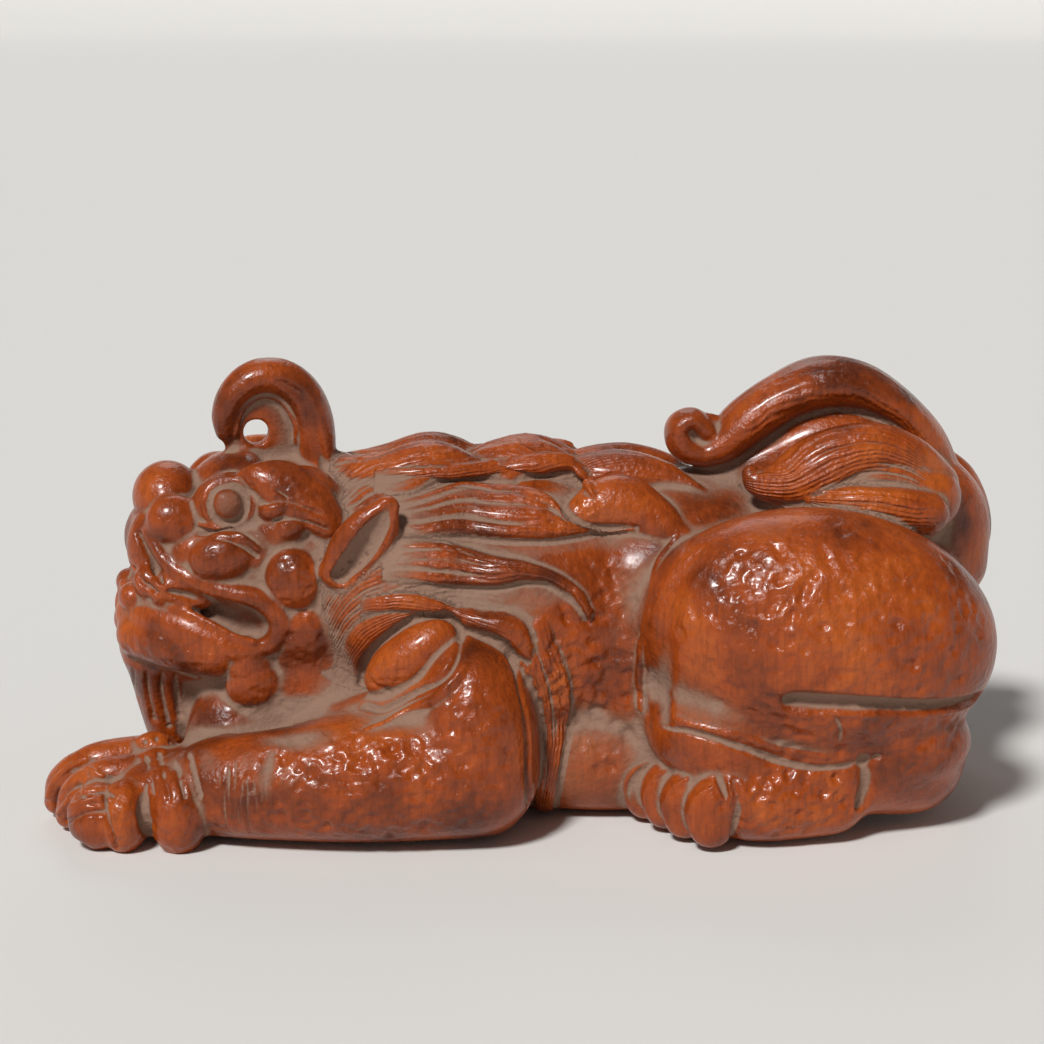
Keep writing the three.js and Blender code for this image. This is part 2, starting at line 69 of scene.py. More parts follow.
CAD_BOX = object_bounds()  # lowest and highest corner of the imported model, before anything is added
MM = 0.001  # the frame is in metres, and the carving is worked in millimetres
ZERO = Vector((-1.347, 0.026, 0.0))  # the carver's zero, over the shoulders, in the frame's millimetres
GRAIN = 0.19  # side of a facet of the finished skin
ROUGH_GRAIN = 0.5  # side of a facet of the roughed-out block
FULL_GRAIN = 0.19  # the grain at which the depths of the hollows were judged
STATION_GAP = 0.45  # distance between the rings of a limb
RING_FACET = 0.35  # side of a facet round a limb
RING_SIDES = (24, 110)  # fewest and most sides of a limb's ring
CAP_RINGS = 5  # rings that draw a limb's end shut
BIG_MASS = 4.0  # a mass with a half size over this gets the finer ball
FAR_OFF = 60.0  # how far out a line of sight starts
LOCK_GRID = (110, 21)  # stations along and across a lock in relief
LOCK_FACING = 0.12  # a lock lies only on skin that faces the view at least this much
DENT_FACING = 0.25  # the same for a dent
DENT_ROUND = 1.3  # over 1 gives a dent a wide rim
THIN_STROKE = 0.02  # least half width of a stroke
STEP_SHARE = 0.9  # how far a round of smoothing goes when hollows are measured
BLOCK_ROUNDS = 10  # rounds of smoothing of the roughed-out block
SKIN_ROUNDS = 2  # rounds of smoothing of the finished forms
LAST_SMOOTHING = (1, 1.0, 0.3)  # rounds, weight and strength once everything is carved
DEEP_SMOOTHING = (30, 1.0, 0.8)  # the same, for the direction into the wood
ROOM = 0.01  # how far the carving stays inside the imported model's box
VOTE_ROUNDS, VOTES = 6, 3  # rounds and neighbours that it takes to win a face over to another region
SPREAD_ROUNDS = 4000  # at most as many rounds to tell a region's loose chips
RIM_WIDTH = 0.42  # half width of the crease beside a lock

# How many rounds of smoothing a hollow is measured over, the depth that counts as full, and its share.
HOLLOWS = ((4, 0.03, 0.3), (24, 0.14, 0.5), (120, 0.5, 0.45))
HOLLOW_RANGE = (-0.8, 1.2)  # the least and most that a hollow counts for
DUST_SHARE = 0.75  # how much the dust laid in the listed patches adds to a hollow

Row = tuple[float, ...]
Dents = tuple[Row, Row, int, Row, float]  # place, reach, count, least and greatest half width, depth
Dust = tuple[Row, Row, float]  # place, reach, amount


class Region(Enum):
    """The carved regions, named as the nodes that they replace."""

    TRUNK = "trunk"
    HEAD = "head"
    JAW = "jaw"
    HORN = "horn"
    EAR_LEFT = "ear_left"
    EAR_RIGHT = "ear_right"
    MANE = "mane"
    FORELEG_LEFT = "foreleg_left"
    FORELEG_RIGHT = "foreleg_right"
    FOREPAW_LEFT = "forepaw_left"
    FOREPAW_RIGHT = "forepaw_right"
    HAUNCH_LEFT = "haunch_left"
    HAUNCH_RIGHT = "haunch_right"
    HINDPAW_LEFT = "hindpaw_left"
    HINDPAW_RIGHT = "hindpaw_right"
    TAIL_ROOT = "tail_root"
    TAIL_CREST = "tail_crest"
    TAIL_LEFT_UPPER = "tail_lock_left_upper"
    TAIL_LEFT_LOWER = "tail_lock_left_lower"
    TAIL_RIGHT_UPPER = "tail_lock_right_upper"
    TAIL_REAR = "tail_lock_rear"


REGIONS = list(Region)


class Side(Enum):
    """The animal's own left and right, as the sign of y."""

    LEFT = -1
    RIGHT = 1

    def of(self, stem: str) -> Region:
        """The region of this side, such as haunch_left for haunch."""
        return Region(f"{stem}_{self.name.lower()}")


def along(rows: Sequence[Row], count: int) -> np.ndarray:
    """Rows of numbers on a smooth curve through the given ones.

    Args:
        rows: The numbers at each station, all rows alike.
        count: How many rows to return, evenly spread over the stations.

    Returns:
        An array of count rows.
    """
    given = np.array(rows, float)
    padded = np.vstack([2 * given[0] - given[1], given, 2 * given[-1] - given[-2]])
    place = np.linspace(0, len(given) - 1, count)
    span = np.minimum(place.astype(int), len(given) - 2)
    t = (place - span)[:, None]
    a, b, c, d = (padded[span + k] for k in range(4))
    return 0.5 * (2 * b + (c - a) * t + (2 * a - 5 * b + 4 * c - d) * t**2 + (3 * b - a - 3 * c + d) * t**3)


def scatter_span(scatter: np.random.Generator, low: float, high: float) -> tuple[float, float]:
    """The two ends of a scratch that takes up at least half of the way from low to high."""
    middle = (low + high) / 2
    return float(scatter.uniform(low, middle - 0.5)), float(scatter.uniform(middle + 0.5, high))


def tree_of(points: Sequence[Row]) -> KDTree:
    """A tree that finds the nearest of some points.

    Args:
        points: The points.

    Returns:
        The tree.
    """
    tree = KDTree(len(points))
    for i, point in enumerate(points):
        tree.insert(point, i)
    tree.balance()
    return tree


def unit(vectors: np.ndarray) -> np.ndarray:
    """The same vectors, each of length one."""
    return vectors / np.maximum(np.linalg.norm(vectors, axis=-1, keepdims=True), 1e-9)


@dataclass(frozen=True)
class Hair:
    """How a lock is combed: its strands, how deep the grooves between them are, and how they wander."""

    strands: float = 0
    depth: float = 0.0
    wander: float = 0.25

    def groove(self, across: np.ndarray, travel: np.ndarray) -> np.ndarray:
        """Depth of the grooves in millimetres.

        Args:
            across: Place across the lock, from -1 to 1.
            travel: Place along the lock, from 0 to 1.

        Returns:
            The depth at each place.
        """
        if not self.strands:
            return np.zeros(np.broadcast(across, travel).shape)
        drift = self.wander * np.sin(5.1 * travel + 2.3 * across) + 0.12 * np.sin(17 * across + 1)
        phase = math.pi * self.strands * (across + 1) / 2 + drift
        own = np.sin(2.4 * np.round(phase / math.pi) + 4.2 * travel)
        return self.depth * (1 - np.abs(np.sin(phase))) ** 1.6 * (0.62 + 0.38 * own)


PLAIN = Hair()


class Clay:
    """Rough forms in millimetres, gathered in one bmesh whose vertices remember their region."""

    def __init__(self) -> None:
        """Starts with nothing on the bench."""
        self.mesh = bmesh.new()
        self.region = self.mesh.verts.layers.int.new("region")

    def _mark(self, verts: Iterable[bmesh.types.BMVert], region: Region) -> None:
        """Notes the region that new vertices belong to.

        Args:
            verts: The new vertices.
            region: Their region.
        """
        number = REGIONS.index(region)
        for vert in verts:
            vert[self.region] = number

    def mass(self, region: Region, centre: Row, radii: Row, tilt: float = 0) -> None:
        """Adds a rounded mass, given in the frame of its region.

        Args:
            region: The region it belongs to.
            centre: Its middle.
            radii: Its three half sizes.
            tilt: Degrees that it turns about its second axis.
        """
        place = FRAMES.get(region, Matrix()) @ Matrix.Translation(centre)
        place = place @ Matrix.Rotation(math.radians(tilt), 4, "Y")
        fineness = 5 if max(radii) > BIG_MASS else 4
        made = bmesh.ops.create_icosphere(
            self.mesh, subdivisions=fineness, radius=1.0, matrix=place @ Matrix.Diagonal((*radii, 1.0))
        )
        self._mark(made["verts"], region)

    def limb(
        self,
        region: Region,
        stations: Sequence[Row],
        up: Row | Sequence[Row] = (0, 0, 1),
        hair: Hair = PLAIN,
    ) -> None:
        """Adds a tapering limb or lock: a sheet rolled round a smooth line and drawn shut at both ends.

        It is given in the frame of its region.

        Args:
            region: The region it belongs to.
            stations: Rows of x, y, z, half width and half height.
            up: The direction of the half height, one for all stations or one for each.
            hair: How its upper side is combed.
        """
        rows = [(*s, s[3]) if len(s) == 4 else s for s in stations]
        matrix = np.array(FRAMES.get(region, Matrix()))
        points = np.array(rows)[:, :3] @ matrix[:3, :3].T + matrix[:3, 3]
        ups = np.broadcast_to(np.array(up, float), points.shape) @ matrix[:3, :3].T
        length = float(np.linalg.norm(np.diff(points, axis=0), axis=1).sum())
        count = max(8, int(length / STATION_GAP))
        table = along(np.hstack([points, np.array(rows)[:, 3:], ups]).tolist(), count)
        line, width, height, top = table[:, :3], table[:, 3], table[:, 4], table[:, 5:]
        ahead = unit(np.gradient(line, axis=0))
        turn = np.linspace(0, math.pi / 2, CAP_RINGS, endpoint=False)
        first = line[0] - np.outer(np.cos(turn) * height[0], ahead[0])
        last = line[-1] + np.outer(np.sin(turn[1:]) * height[-1], ahead[-1])
        last = np.vstack([last, line[-1] + ahead[-1] * height[-1]])
        centres = np.vstack([first, line, last])
        shrink = np.concatenate([np.sin(turn), np.ones(count), np.cos(turn[1:]), [0.0]])
        pick = np.concatenate([np.zeros(CAP_RINGS, int), np.arange(count), np.full(CAP_RINGS, count - 1)])
        ahead, width, height, top = ahead[pick], width[pick] * shrink, height[pick] * shrink, top[pick]
        side = unit(np.cross(ahead, top))
        lift = np.cross(side, ahead)
        rings = len(centres)
        girth = float(max(np.max(width), np.max(height)))
        sides = int(np.clip(girth * 2 * math.pi / RING_FACET, *RING_SIDES))
        angle = np.arange(sides + 1) * 2 * math.pi / sides
        cos, sin = np.cos(angle)[None, :], np.sin(angle)[None, :]
        travel = np.clip((np.arange(rings) - CAP_RINGS) / max(count - 1, 1), 0, 1)[:, None]
        cut = hair.groove(cos, travel) * np.clip(sin * 3, 0, 1) * shrink[:, None]
        across = width[:, None] * cos
        above = height[:, None] * sin - cut
        skin = centres[:, None] + side[:, None] * across[..., None] + lift[:, None] * above[..., None]
        self._roll(skin, region)

    def _roll(self, skin: np.ndarray, region: Region) -> None:
        """Lays a flat sheet onto the places worked out for it, and closes its seam and ends.

        Args:
            skin: Places of the sheet's points, one row for each ring.
            region: The region it belongs to.
        """
        rings, sides = skin.shape[:2]
        made = bmesh.ops.create_grid(self.mesh, x_segments=rings - 1, y_segments=sides - 1, size=1.0)["verts"]
        for vert in made:
            i = round((vert.co.x + 1) / 2 * (rings - 1))
            j = round((vert.co.y + 1) / 2 * (sides - 1))
            vert.co = skin[i, j]
        self._mark(made, region)
        faces = list({face for vert in made for face in vert.link_faces})
        bmesh.ops.remove_doubles(self.mesh, verts=made, dist=1e-4)
        faces = [face for face in faces if face.is_valid]
        bmesh.ops.recalc_face_normals(self.mesh, faces=faces)

    def as_mesh(self, name: str) -> bpy.types.Mesh:
        """The forms as a Blender mesh.

        Args:
            name: The mesh's name.

        Returns:
            The mesh.
        """
        mesh = bpy.data.meshes.new(name)
        self.mesh.to_mesh(mesh)
        return mesh


def melt(mesh: bpy.types.Mesh, grain: float, cutter: bpy.types.Mesh | None = None) -> bpy.types.Mesh:
    """Melts overlapping closed forms into one closed skin of even facets.

    Args:
        mesh: The forms.
        grain: Side of a facet of the new skin.
        cutter: Closed forms that are cut out of the skin, with an even skin given to the walls of the cut.

    Returns:
        The new skin. The meshes given are removed.
    """
    body = bpy.data.objects.new("melting", mesh)
    bpy.context.scene.collection.objects.link(body)
    spent = [(body, mesh)]
    remesh = body.modifiers.new("melt", "REMESH")
    remesh.mode, remesh.voxel_size, remesh.adaptivity = "VOXEL", grain, 0.0
    if cutter:
        tool = bpy.data.objects.new("cutter", cutter)
        bpy.context.scene.collection.objects.link(tool)
        spent.append((tool, cutter))
        cut = body.modifiers.new("cut", "BOOLEAN")
        cut.operation, cut.solver, cut.object = "DIFFERENCE", "MANIFOLD", tool
        again = body.modifiers.new("melt again", "REMESH")
        again.mode, again.voxel_size, again.adaptivity = "VOXEL", grain, 0.0
    bpy.context.view_layer.update()
    evaluated = body.evaluated_get(bpy.context.evaluated_depsgraph_get())
    skin = bpy.data.meshes.new_from_object(evaluated)
    for thing, data in spent:
        bpy.data.objects.remove(thing)
        bpy.data.meshes.remove(data)
    return skin


class Skin:
    """The one closed skin of the carving, as arrays that gouge strokes are cut into."""

    def __init__(self, mesh: bpy.types.Mesh) -> None:
        """Reads the points, edges and faces of a mesh of quads.

        Args:
            mesh: A mesh of quads.
        """
        self.mesh = mesh
        count = len(mesh.vertices)
        self.points = np.empty(count * 3)
        mesh.vertices.foreach_get("co", self.points)
        self.points = self.points.reshape(-1, 3)
        self.edges = np.empty(len(mesh.edges) * 2, int)
        mesh.edges.foreach_get("vertices", self.edges)
        self.edges = self.edges.reshape(-1, 2)
        self.quads = np.empty(len(mesh.loops), int)
        mesh.loops.foreach_get("vertex_index", self.quads)
        self.quads = self.quads.reshape(-1, 4)
        self.links = np.bincount(self.edges.ravel(), minlength=count)
        self._from = self.edges.ravel()
        self._to = self.edges[:, ::-1].ravel()

    def mean(self, values: np.ndarray) -> np.ndarray:
        """The mean of each point's neighbours.

        Args:
            values: A number or a row of numbers for each point.

        Returns:
            The means, in the same shape.
        """
        flat = values.reshape(len(self.points), -1)
        total = [np.bincount(self._from, flat[self._to, k], len(self.points)) for k in range(flat.shape[1])]
        return (np.stack(total, 1) / self.links[:, None]).reshape(values.shape)

    def relax(self, rounds: int, weight: np.ndarray | float = 1.0, strength: float = 0.5) -> None:
        """Smooths the skin.

        Args:
            rounds: How many times each point moves towards its neighbours.
            weight: How much of each move is made, for all points or for each.
            strength: The share of the way that a point moves.
        """
        share = np.broadcast_to(np.asarray(weight, float), (len(self.points),))[:, None] * strength
        for _ in range(rounds):
            self.points += (self.mean(self.points) - self.points) * share

    def normals(self) -> np.ndarray:
        """The outward direction at each point.

        Returns:
            A direction of length one for each point.
        """
        corner = self.points[self.quads]
        face = np.cross(corner[:, 2] - corner[:, 0], corner[:, 3] - corner[:, 1])
        spread = np.repeat(face, 4, axis=0)
        at = self.quads.ravel()
        return unit(np.stack([np.bincount(at, spread[:, k], len(self.points)) for k in range(3)], 1))

    def stroke(self, rows: Sequence[Row], depth: float, sharp: float = 1.0, facing: Row | None = None) -> None:
        """Cuts a gouge stroke into the skin, or with a negative depth raises a ridge.

        Args:
            rows: Rows of x, y, z and half width along the stroke. The depth tapers off with the half width.
            depth: Depth in the middle of the widest part.
            sharp: Over 1 gives a sharp groove with wide shoulders, under 1 a round one.
            facing: Where given, only skin that faces this way is cut.
        """
        path = along(rows, max(6, len(rows) * 6))
        line, width = path[:, :3], np.maximum(path[:, 3], THIN_STROKE)
        margin = float(width.max()) * 1.1
        low, high = line.min(0) - margin, line.max(0) + margin
        inside = np.flatnonzero(np.all((self.points > low) & (self.points < high), axis=1))
        if not len(inside):
            return
        here = self.points[inside]
        best = np.full(len(inside), 1e9)
        reach = np.full(len(inside), 1.0)
        for a, b, wa, wb in zip(line, line[1:], width, width[1:]):
            step = b - a
            t = np.clip((here - a) @ step / max(float(step @ step), 1e-9), 0, 1)
            gap = np.linalg.norm(here - (a + t[:, None] * step), axis=1)
            size = wa + (wb - wa) * t
            closer = gap / size < best
            best[closer] = (gap / size)[closer]
            reach[closer] = size[closer]
        touched = best < 1
        inside, best, reach = inside[touched], best[touched], reach[touched]
        out = self.normals_at(inside)
        amount = depth * (1 - best**2) ** (1.5 * sharp) * np.minimum(1, reach / float(width.max()) * 1.3)
        if facing is not None:
            amount = amount * np.clip(out @ unit(np.array(facing, float)) * 2, 0, 1)
        self.points[inside] -= out * amount[:, None]

    def normals_at(self, chosen: np.ndarray) -> np.ndarray:
        """The outward direction at some points, from the last time that it was measured."""
        return self._normals[chosen]

    def measure(self) -> None:
        """Measures the outward direction again, after the skin has changed."""
        self._normals = self.normals()

    def hollowness(self, rounds: int) -> np.ndarray:
        """How deep each point lies under the mean of the skin about it, in millimetres.

        Args:
            rounds: How far about it the mean reaches.

        Returns:
            The depth at each point.
        """
        smooth = self.points.copy()
        for _ in range(rounds):
            smooth += (self.mean(smooth) - smooth) * STEP_SHARE
        return np.einsum("ij,ij->i", smooth - self.points, self._normals)


HEAD_ORIGIN = Vector((-20.0, -1.0, 20.0))
HEAD_TURN = math.radians(12)
HEAD_AHEAD = (-math.cos(HEAD_TURN), -math.sin(HEAD_TURN), 0.0)
HEAD_LEFT = (math.sin(HEAD_TURN), -math.cos(HEAD_TURN), 0.0)
HEAD = Matrix.Translation(HEAD_ORIGIN) @ Matrix((HEAD_AHEAD, HEAD_LEFT, (0, 0, 1))).transposed().to_4x4()
FRAMES = {
    region: HEAD for region in (Region.HEAD, Region.JAW, Region.HORN, Region.EAR_LEFT, Region.EAR_RIGHT)
}  # the other regions are given in the carver's own frame


@dataclass(frozen=True)
class View:
    """A direction to look at the carving from. Places in a view are given across and up."""

    across: Row
    up: Row
    out: Row
    origin: Row = (0.0, 0.0, 0.0)

    def flat(self, points: np.ndarray) -> np.ndarray:
        """Points as across, up and out of this view."""
        return (points - np.array(self.origin)) @ np.array((self.across, self.up, self.out)).T

    def solid(self, across: float, up: float, out: float) -> Vector:
        """A place of this view in the carver's frame.

        Args:
            across: How far across the view.
            up: How far up the view.
            out: How far out of the view.

        Returns:
            The place.
        """
        return (
            Vector(self.origin) + across * Vector(self.across) + up * Vector(self.up) + out * Vector(self.out)
        )


def beside(side: Side) -> View:
    """The view of one flank: along the animal and up."""
    return View((1, 0, 0), (0, 0, 1), (0, side.value, 0))


def beside_head(side: Side) -> View:
    """The view of one side of the head: forward and up."""
    out = tuple(-side.value * c for c in HEAD_LEFT)
    return View(HEAD_AHEAD, (0, 0, 1), out, tuple(HEAD_ORIGIN))


ABOVE = View((1, 0, 0), (0, 1, 0), (0, 0, 1))


class Sight:
    """Finds places on a skin as they are seen in a view."""

    def __init__(self, skin: Skin) -> None:
        """Builds the tree that lines of sight are cast into."""
        self.tree = BVHTree.FromPolygons(skin.points.tolist(), skin.quads.tolist())

    def spot(self, view: View, across: float, up: float) -> tuple[Vector, Vector]:
        """The outermost place at a place of a view, and the outward direction there.

        Args:
            view: The view.
            across: How far across the view.
            up: How far up the view.

        Returns:
            The place and the direction.
        """
        place, normal, _, _ = self.tree.ray_cast(view.solid(across, up, FAR_OFF), -Vector(view.out))
        if place is None:
            place, normal, _, _ = self.tree.find_nearest(view.solid(across, up, 8))
        return place, normal


@dataclass(frozen=True)
class Lock:
    """A lock carved in relief, between its upper and its lower edge in a view, from its root to its tip."""

    region: Region
    upper: tuple[Row, ...]  # across and up along its upper edge
    lower: tuple[Row, ...]
    heights: Row  # how far it stands over the skin, from its root to its tip
    hair: Hair = PLAIN
    fine: float = 0.0  # how many fine strands the material draws across it
    edge: float = 0.22  # depth of the crease beside it
    flat: float = 3.0  # over 2 gives it a flat top and steep sides
    start: float = 0.0  # over 0 lets its grooves start at once
    root_dust: float = 0.0  # how much dust lies at its root
    tip: float = 6.0  # how suddenly its grooves end at its tip


class Carver:
    """Cuts reliefs, strokes and dusty places into the skin."""

    def __init__(self, skin: Skin, region: np.ndarray) -> None:
        """Takes up a skin.

        Args:
            skin: The skin.
            region: The number of the region of each of its points.
        """
        self.skin = skin
        self.region = region
        self.sight = Sight(skin)
        count = len(skin.points)
        self.height, self.strand, self.hair, self.dust = (np.zeros(count) for _ in range(4))
        self.creases: list[tuple[View, list[Row], float]] = []
        self.dents: list[tuple[Vector, Vector, float, float]] = []

    def lock(self, view: View, lock: Lock) -> None:
        """Raises a lock in relief. It lies over what was raised before it.

        Args:
            view: The view that its edges are given in.
            lock: The lock.
        """
        steps, rows = LOCK_GRID
        upper, lower = along(lock.upper, steps), along(lock.lower, steps)
        s = np.linspace(0, 1, rows)
        grid = upper[:, None] * (1 - s)[None, :, None] + lower[:, None] * s[None, :, None]
        tree = tree_of([(*place, 0) for place in grid.reshape(-1, 2).tolist()])
        flat = view.flat(self.skin.points)
        low, high = grid.min((0, 1)), grid.max((0, 1))
        near = np.all((flat[:, :2] > low) & (flat[:, :2] < high), axis=1)
        facing = self.skin.normals_at(slice(None)) @ np.array(view.out) > LOCK_FACING
        soft = np.isin(self.region, [REGIONS.index(r) for r in (Region.MANE, Region.TRUNK, lock.region)])
        chosen = np.flatnonzero(near & facing & soft)
        if not len(chosen):
            return
        here = flat[chosen, :2]
        found = np.array([tree.find((*place, 0))[1] for place in here.tolist()])
        i, j = found // rows, found % rows
        along_t = np.gradient(grid, axis=0)[i, j] * (steps - 1)
        along_s = lower[i] - upper[i]
        off = here - grid[i, j]
        twist = along_t[:, 0] * along_s[:, 1] - along_t[:, 1] * along_s[:, 0]
        twist = np.where(np.abs(twist) < 1e-6, 1e-6, twist)
        t = i / (steps - 1) + (off[:, 0] * along_s[:, 1] - off[:, 1] * along_s[:, 0]) / twist
        s_at = j / (rows - 1) + (along_t[:, 0] * off[:, 1] - along_t[:, 1] * off[:, 0]) / twist
        inside = (t > 0) & (t < 1) & (s_at > 0) & (s_at < 1)
        chosen, t, s_at = chosen[inside], t[inside], s_at[inside]
        across = 2 * s_at - 1
        tall = np.interp(t, np.linspace(0, 1, len(lock.heights)), lock.heights)
        dome = np.sqrt(np.clip(1 - np.abs(across) ** lock.flat, 0, 1))
        ends = np.clip((1 - t) * lock.tip, 0, 1) * np.clip(t * 5 + lock.start, 0, 1)
        rise = tall * dome - lock.hair.groove(across, t) * np.clip(dome * 1.4, 0, 1) * ends
        self.height[chosen] = np.where(tall > 0, np.maximum(rise, self.height[chosen] * 0.4), rise)
        self.strand[chosen] = s_at * lock.fine + 0.15 * np.sin(7 * t)
        shown = np.clip(dome * 1.5, 0, 1) * ends
        self.dust[chosen] = lock.root_dust * np.clip(1.15 - 2.0 * t, 0, 1)
        self.hair[chosen] = (lock.fine > 0) * shown
        self.region[chosen] = REGIONS.index(lock.region)
        if lock.edge:
            for edge in (lock.upper, lock.lower):
                crease = [(*place, RIM_WIDTH * min(1.0, 0.1 + 0.3 * k)) for k, place in enumerate(edge)]
                self.creases.append((view, crease, lock.edge))

    def settle(self) -> None:
        """Moves the skin out to the heights of the relief, and cuts the creases beside its locks."""
        skin = self.skin
        spread = self.height.copy()
        for _ in range(2):
            spread += (skin.mean(spread) - spread) * 0.5
        skin.points += skin.normals_at(slice(None)) * spread[:, None]
        skin.relax(1, (np.abs(spread) > 0.02).astype(float), 0.35)
        skin.measure()
        self.sight = Sight(skin)
        for view, rows, depth in self.creases:
            self.stroke(view, rows, depth, 1.4)

    def stroke(self, view: View, rows: Sequence[Row], depth: float, sharp: float = 1.0) -> None:
        """Cuts a stroke, or with a negative depth raises a ridge.

        Args:
            view: The view that the stroke is given in.
            rows: Rows of across, up and half width.
            depth: Depth of the stroke in its middle.
            sharp: Over 1 gives a sharp groove, under 1 a round one.
        """
        smooth = along(rows, max(5, len(rows) * 4))
        path = [(*self.sight.spot(view, a, b)[0], width) for a, b, width in smooth.tolist()]
        self.skin.stroke(path, depth, sharp, view.out)

    def pits(self, view: View, place: Row, reach: Row, count: int, sizes: Row, depth: float) -> None:
        """Marks small dents in an oval place of a view, scattered the same way on each run.

        Args:
            view: The view.
            place: Its middle, across and up.
            reach: Its half sizes across and up.
            count: How many dents.
            sizes: The smallest and the largest half width of a dent.
            depth: How deep the largest dent is.
        """
        scatter = np.random.default_rng(count)
        for _ in range(count):
            turn, far, size = scatter.uniform(0, 2 * math.pi), scatter.uniform() ** 0.5, scatter.uniform(*sizes)
            a, b = place[0] + reach[0] * far * math.cos(turn), place[1] + reach[1] * far * math.sin(turn)
            spot, out = self.sight.spot(view, a, b)
            if out @ Vector(view.out) > DENT_FACING:
                self.dents.append((spot, out, size, depth * size / sizes[1]))

    def wear(self, view: View, dents: Sequence[Dents], dust: Sequence[Dust]) -> None:
        """Marks the dents and lays the dust of a part.

        Args:
            view: The view that their places are given in.
            dents: The patches of dents.
            dust: The patches of dust.
        """
        for dent in dents:
            self.pits(view, *dent)
        for film in dust:
            self.dusty(view, *film)

    def press(self) -> None:
        """Presses the marked dents into the skin."""
        points = self.skin.points
        tree = tree_of(points.tolist())
        for spot, out, size, depth in self.dents:
            for _, i, gap in tree.find_range(spot, size):
                points[i] -= np.array(out) * depth * (1 - (gap / size) ** 2) ** DENT_ROUND

    def dusty(self, view: View, place: Row, reach: Row, amount: float = 1.0) -> None:
        """Lays dust on an oval place of a view.

        Args:
            view: The view.
            place: Its middle, across and up.
            reach: Its half sizes across and up.
            amount: How much dust lies in its middle.
        """
        flat = view.flat(self.skin.points)
        gap = np.hypot((flat[:, 0] - place[0]) / reach[0], (flat[:, 1] - place[1]) / reach[1])
        facing = np.clip(self.skin.normals_at(slice(None)) @ np.array(view.out) * 2 + 0.3, 0, 1)
        self.dust = np.maximum(self.dust, amount * np.clip(1.6 * (1 - gap), 0, 1) * facing * (flat[:, 2] > 0))


def lay_lock(
    clay: Clay,
    region: Region,
    spots: Sequence[tuple[Vector, Vector]],
    widths: Sequence[float],
    heights: Sequence[float],
    hair: Hair,
) -> None:
    """Lays a thick lock of hair along places of the block.

    Args:
        clay: Where the lock is added.
        region: The region it belongs to.
        spots: Places of the block with their outward directions.
        widths: Half widths at the places.
        heights: How far the lock stands over the block at the places.
        hair: How it is combed.
    """
    rows, ups = [], []
    for (place, normal), width, height in zip(spots, widths, heights):
        thick = height * 0.6 + 0.7
        centre = place + normal * (height - thick)
        rows.append((*centre, width, thick))
        ups.append(tuple(normal))
    clay.limb(region, rows, ups, hair)


@dataclass
class Trunk:
    """Chest, belly, rump and the core of the neck."""

    back_height: float = 29.4
    shoulder_x: float = -1.0
    belly_x: float = 13.0
    hip_x: float = 25.6
    belly_roll: float = 5.4
    folds: Lock = Lock(
        Region.TRUNK,
        ((-1.6, 17.2), (-0.4, 14.2), (0.2, 11.0), (0.5, 7.4), (0.7, 4.0), (0.9, 0.8)),
        ((2.0, 18.8), (3.2, 15.8), (4.2, 12.0), (3.9, 8.4), (3.2, 4.4), (2.8, 0.8)),
        (0.2, 0.5, 0.6, 0.6, 0.5, 0.4), Hair(5, 0.36, 1.1), 9, root_dust=0.3,
    )
    dents: tuple[Dents, ...] = (
        ((6.5, 14.0), (4.4, 9.0), 330, (0.3, 0.75), 0.16), ((2.0, 11.0), (1.8, 8.0), 50, (0.25, 0.5), 0.12),
    )
    dust: tuple[Dust, ...] = (
        ((6.5, 4.5), (7.5, 7.5), 0.9), ((12.2, 13), (2.6, 6.5), 0.9), ((9.6, 21), (1.8, 4.5), 0.6),
        ((2.2, 24.0), (9.5, 1.0), 0.7), ((2.0, 12.0), (2.4, 8.5), 0.3),
    )

    def rough(self, clay: Clay) -> None:
        """Lays down the trunk's masses.

        Args:
            clay: Where the forms are laid down.
        """
        ribs = self.back_height / 2 + 1.2
        half = self.back_height / 2
        clay.mass(Region.TRUNK, (self.shoulder_x, 0, ribs), (17, 13.2, self.back_height - ribs))
        clay.mass(Region.TRUNK, (self.belly_x, 0, half - 0.6), (16, 12.4, half))
        clay.mass(Region.TRUNK, (self.hip_x, 0, 15), (14, 12.2, 13))
        clay.mass(Region.TRUNK, (HEAD_ORIGIN.x + 2, HEAD_ORIGIN.y, 10), (12, 9.6, 8.8))
        for side in Side:
            clay.mass(Region.TRUNK, (-24.4, 7.6 * side.value, 6.4), (4.6, 3.8, 5.6))
            roll = self.belly_roll
            clay.limb(
                Region.TRUNK,
                [(-6, 6.2 * side.value, roll + 0.6, roll), (6, 6.6 * side.value, roll, roll),
                 (16, 6.2 * side.value, roll + 0.2, roll)],
            )

    def comb(self, carver: Carver) -> None:
        """Raises the fibrous folds of skin behind the elbows."""
        for side in Side:
            carver.lock(beside(side), self.folds)

    def carve(self, carver: Carver) -> None:
        """Cuts the edge of the flank before the haunch, and lays the dust beside it.

        Args:
            carver: The carver who works on the skin.
        """
        for side in Side:
            view = beside(side)
            edge = [(13.6, 24.6, 0.5), (11.9, 22.6, 0.7), (11.0, 20.0, 0.8), (10.5, 16.8, 0.8),
                    (10.4, 13.4, 0.8), (10.6, 10.6, 0.6)]
            carver.stroke(view, [(a - 0.7, b, w * 0.6) for a, b, w in edge], -0.2, 1.3)
            carver.stroke(view, [(a + 0.9, b, w * 2.2) for a, b, w in edge], 0.4)
            carver.wear(view, self.dents, self.dust)


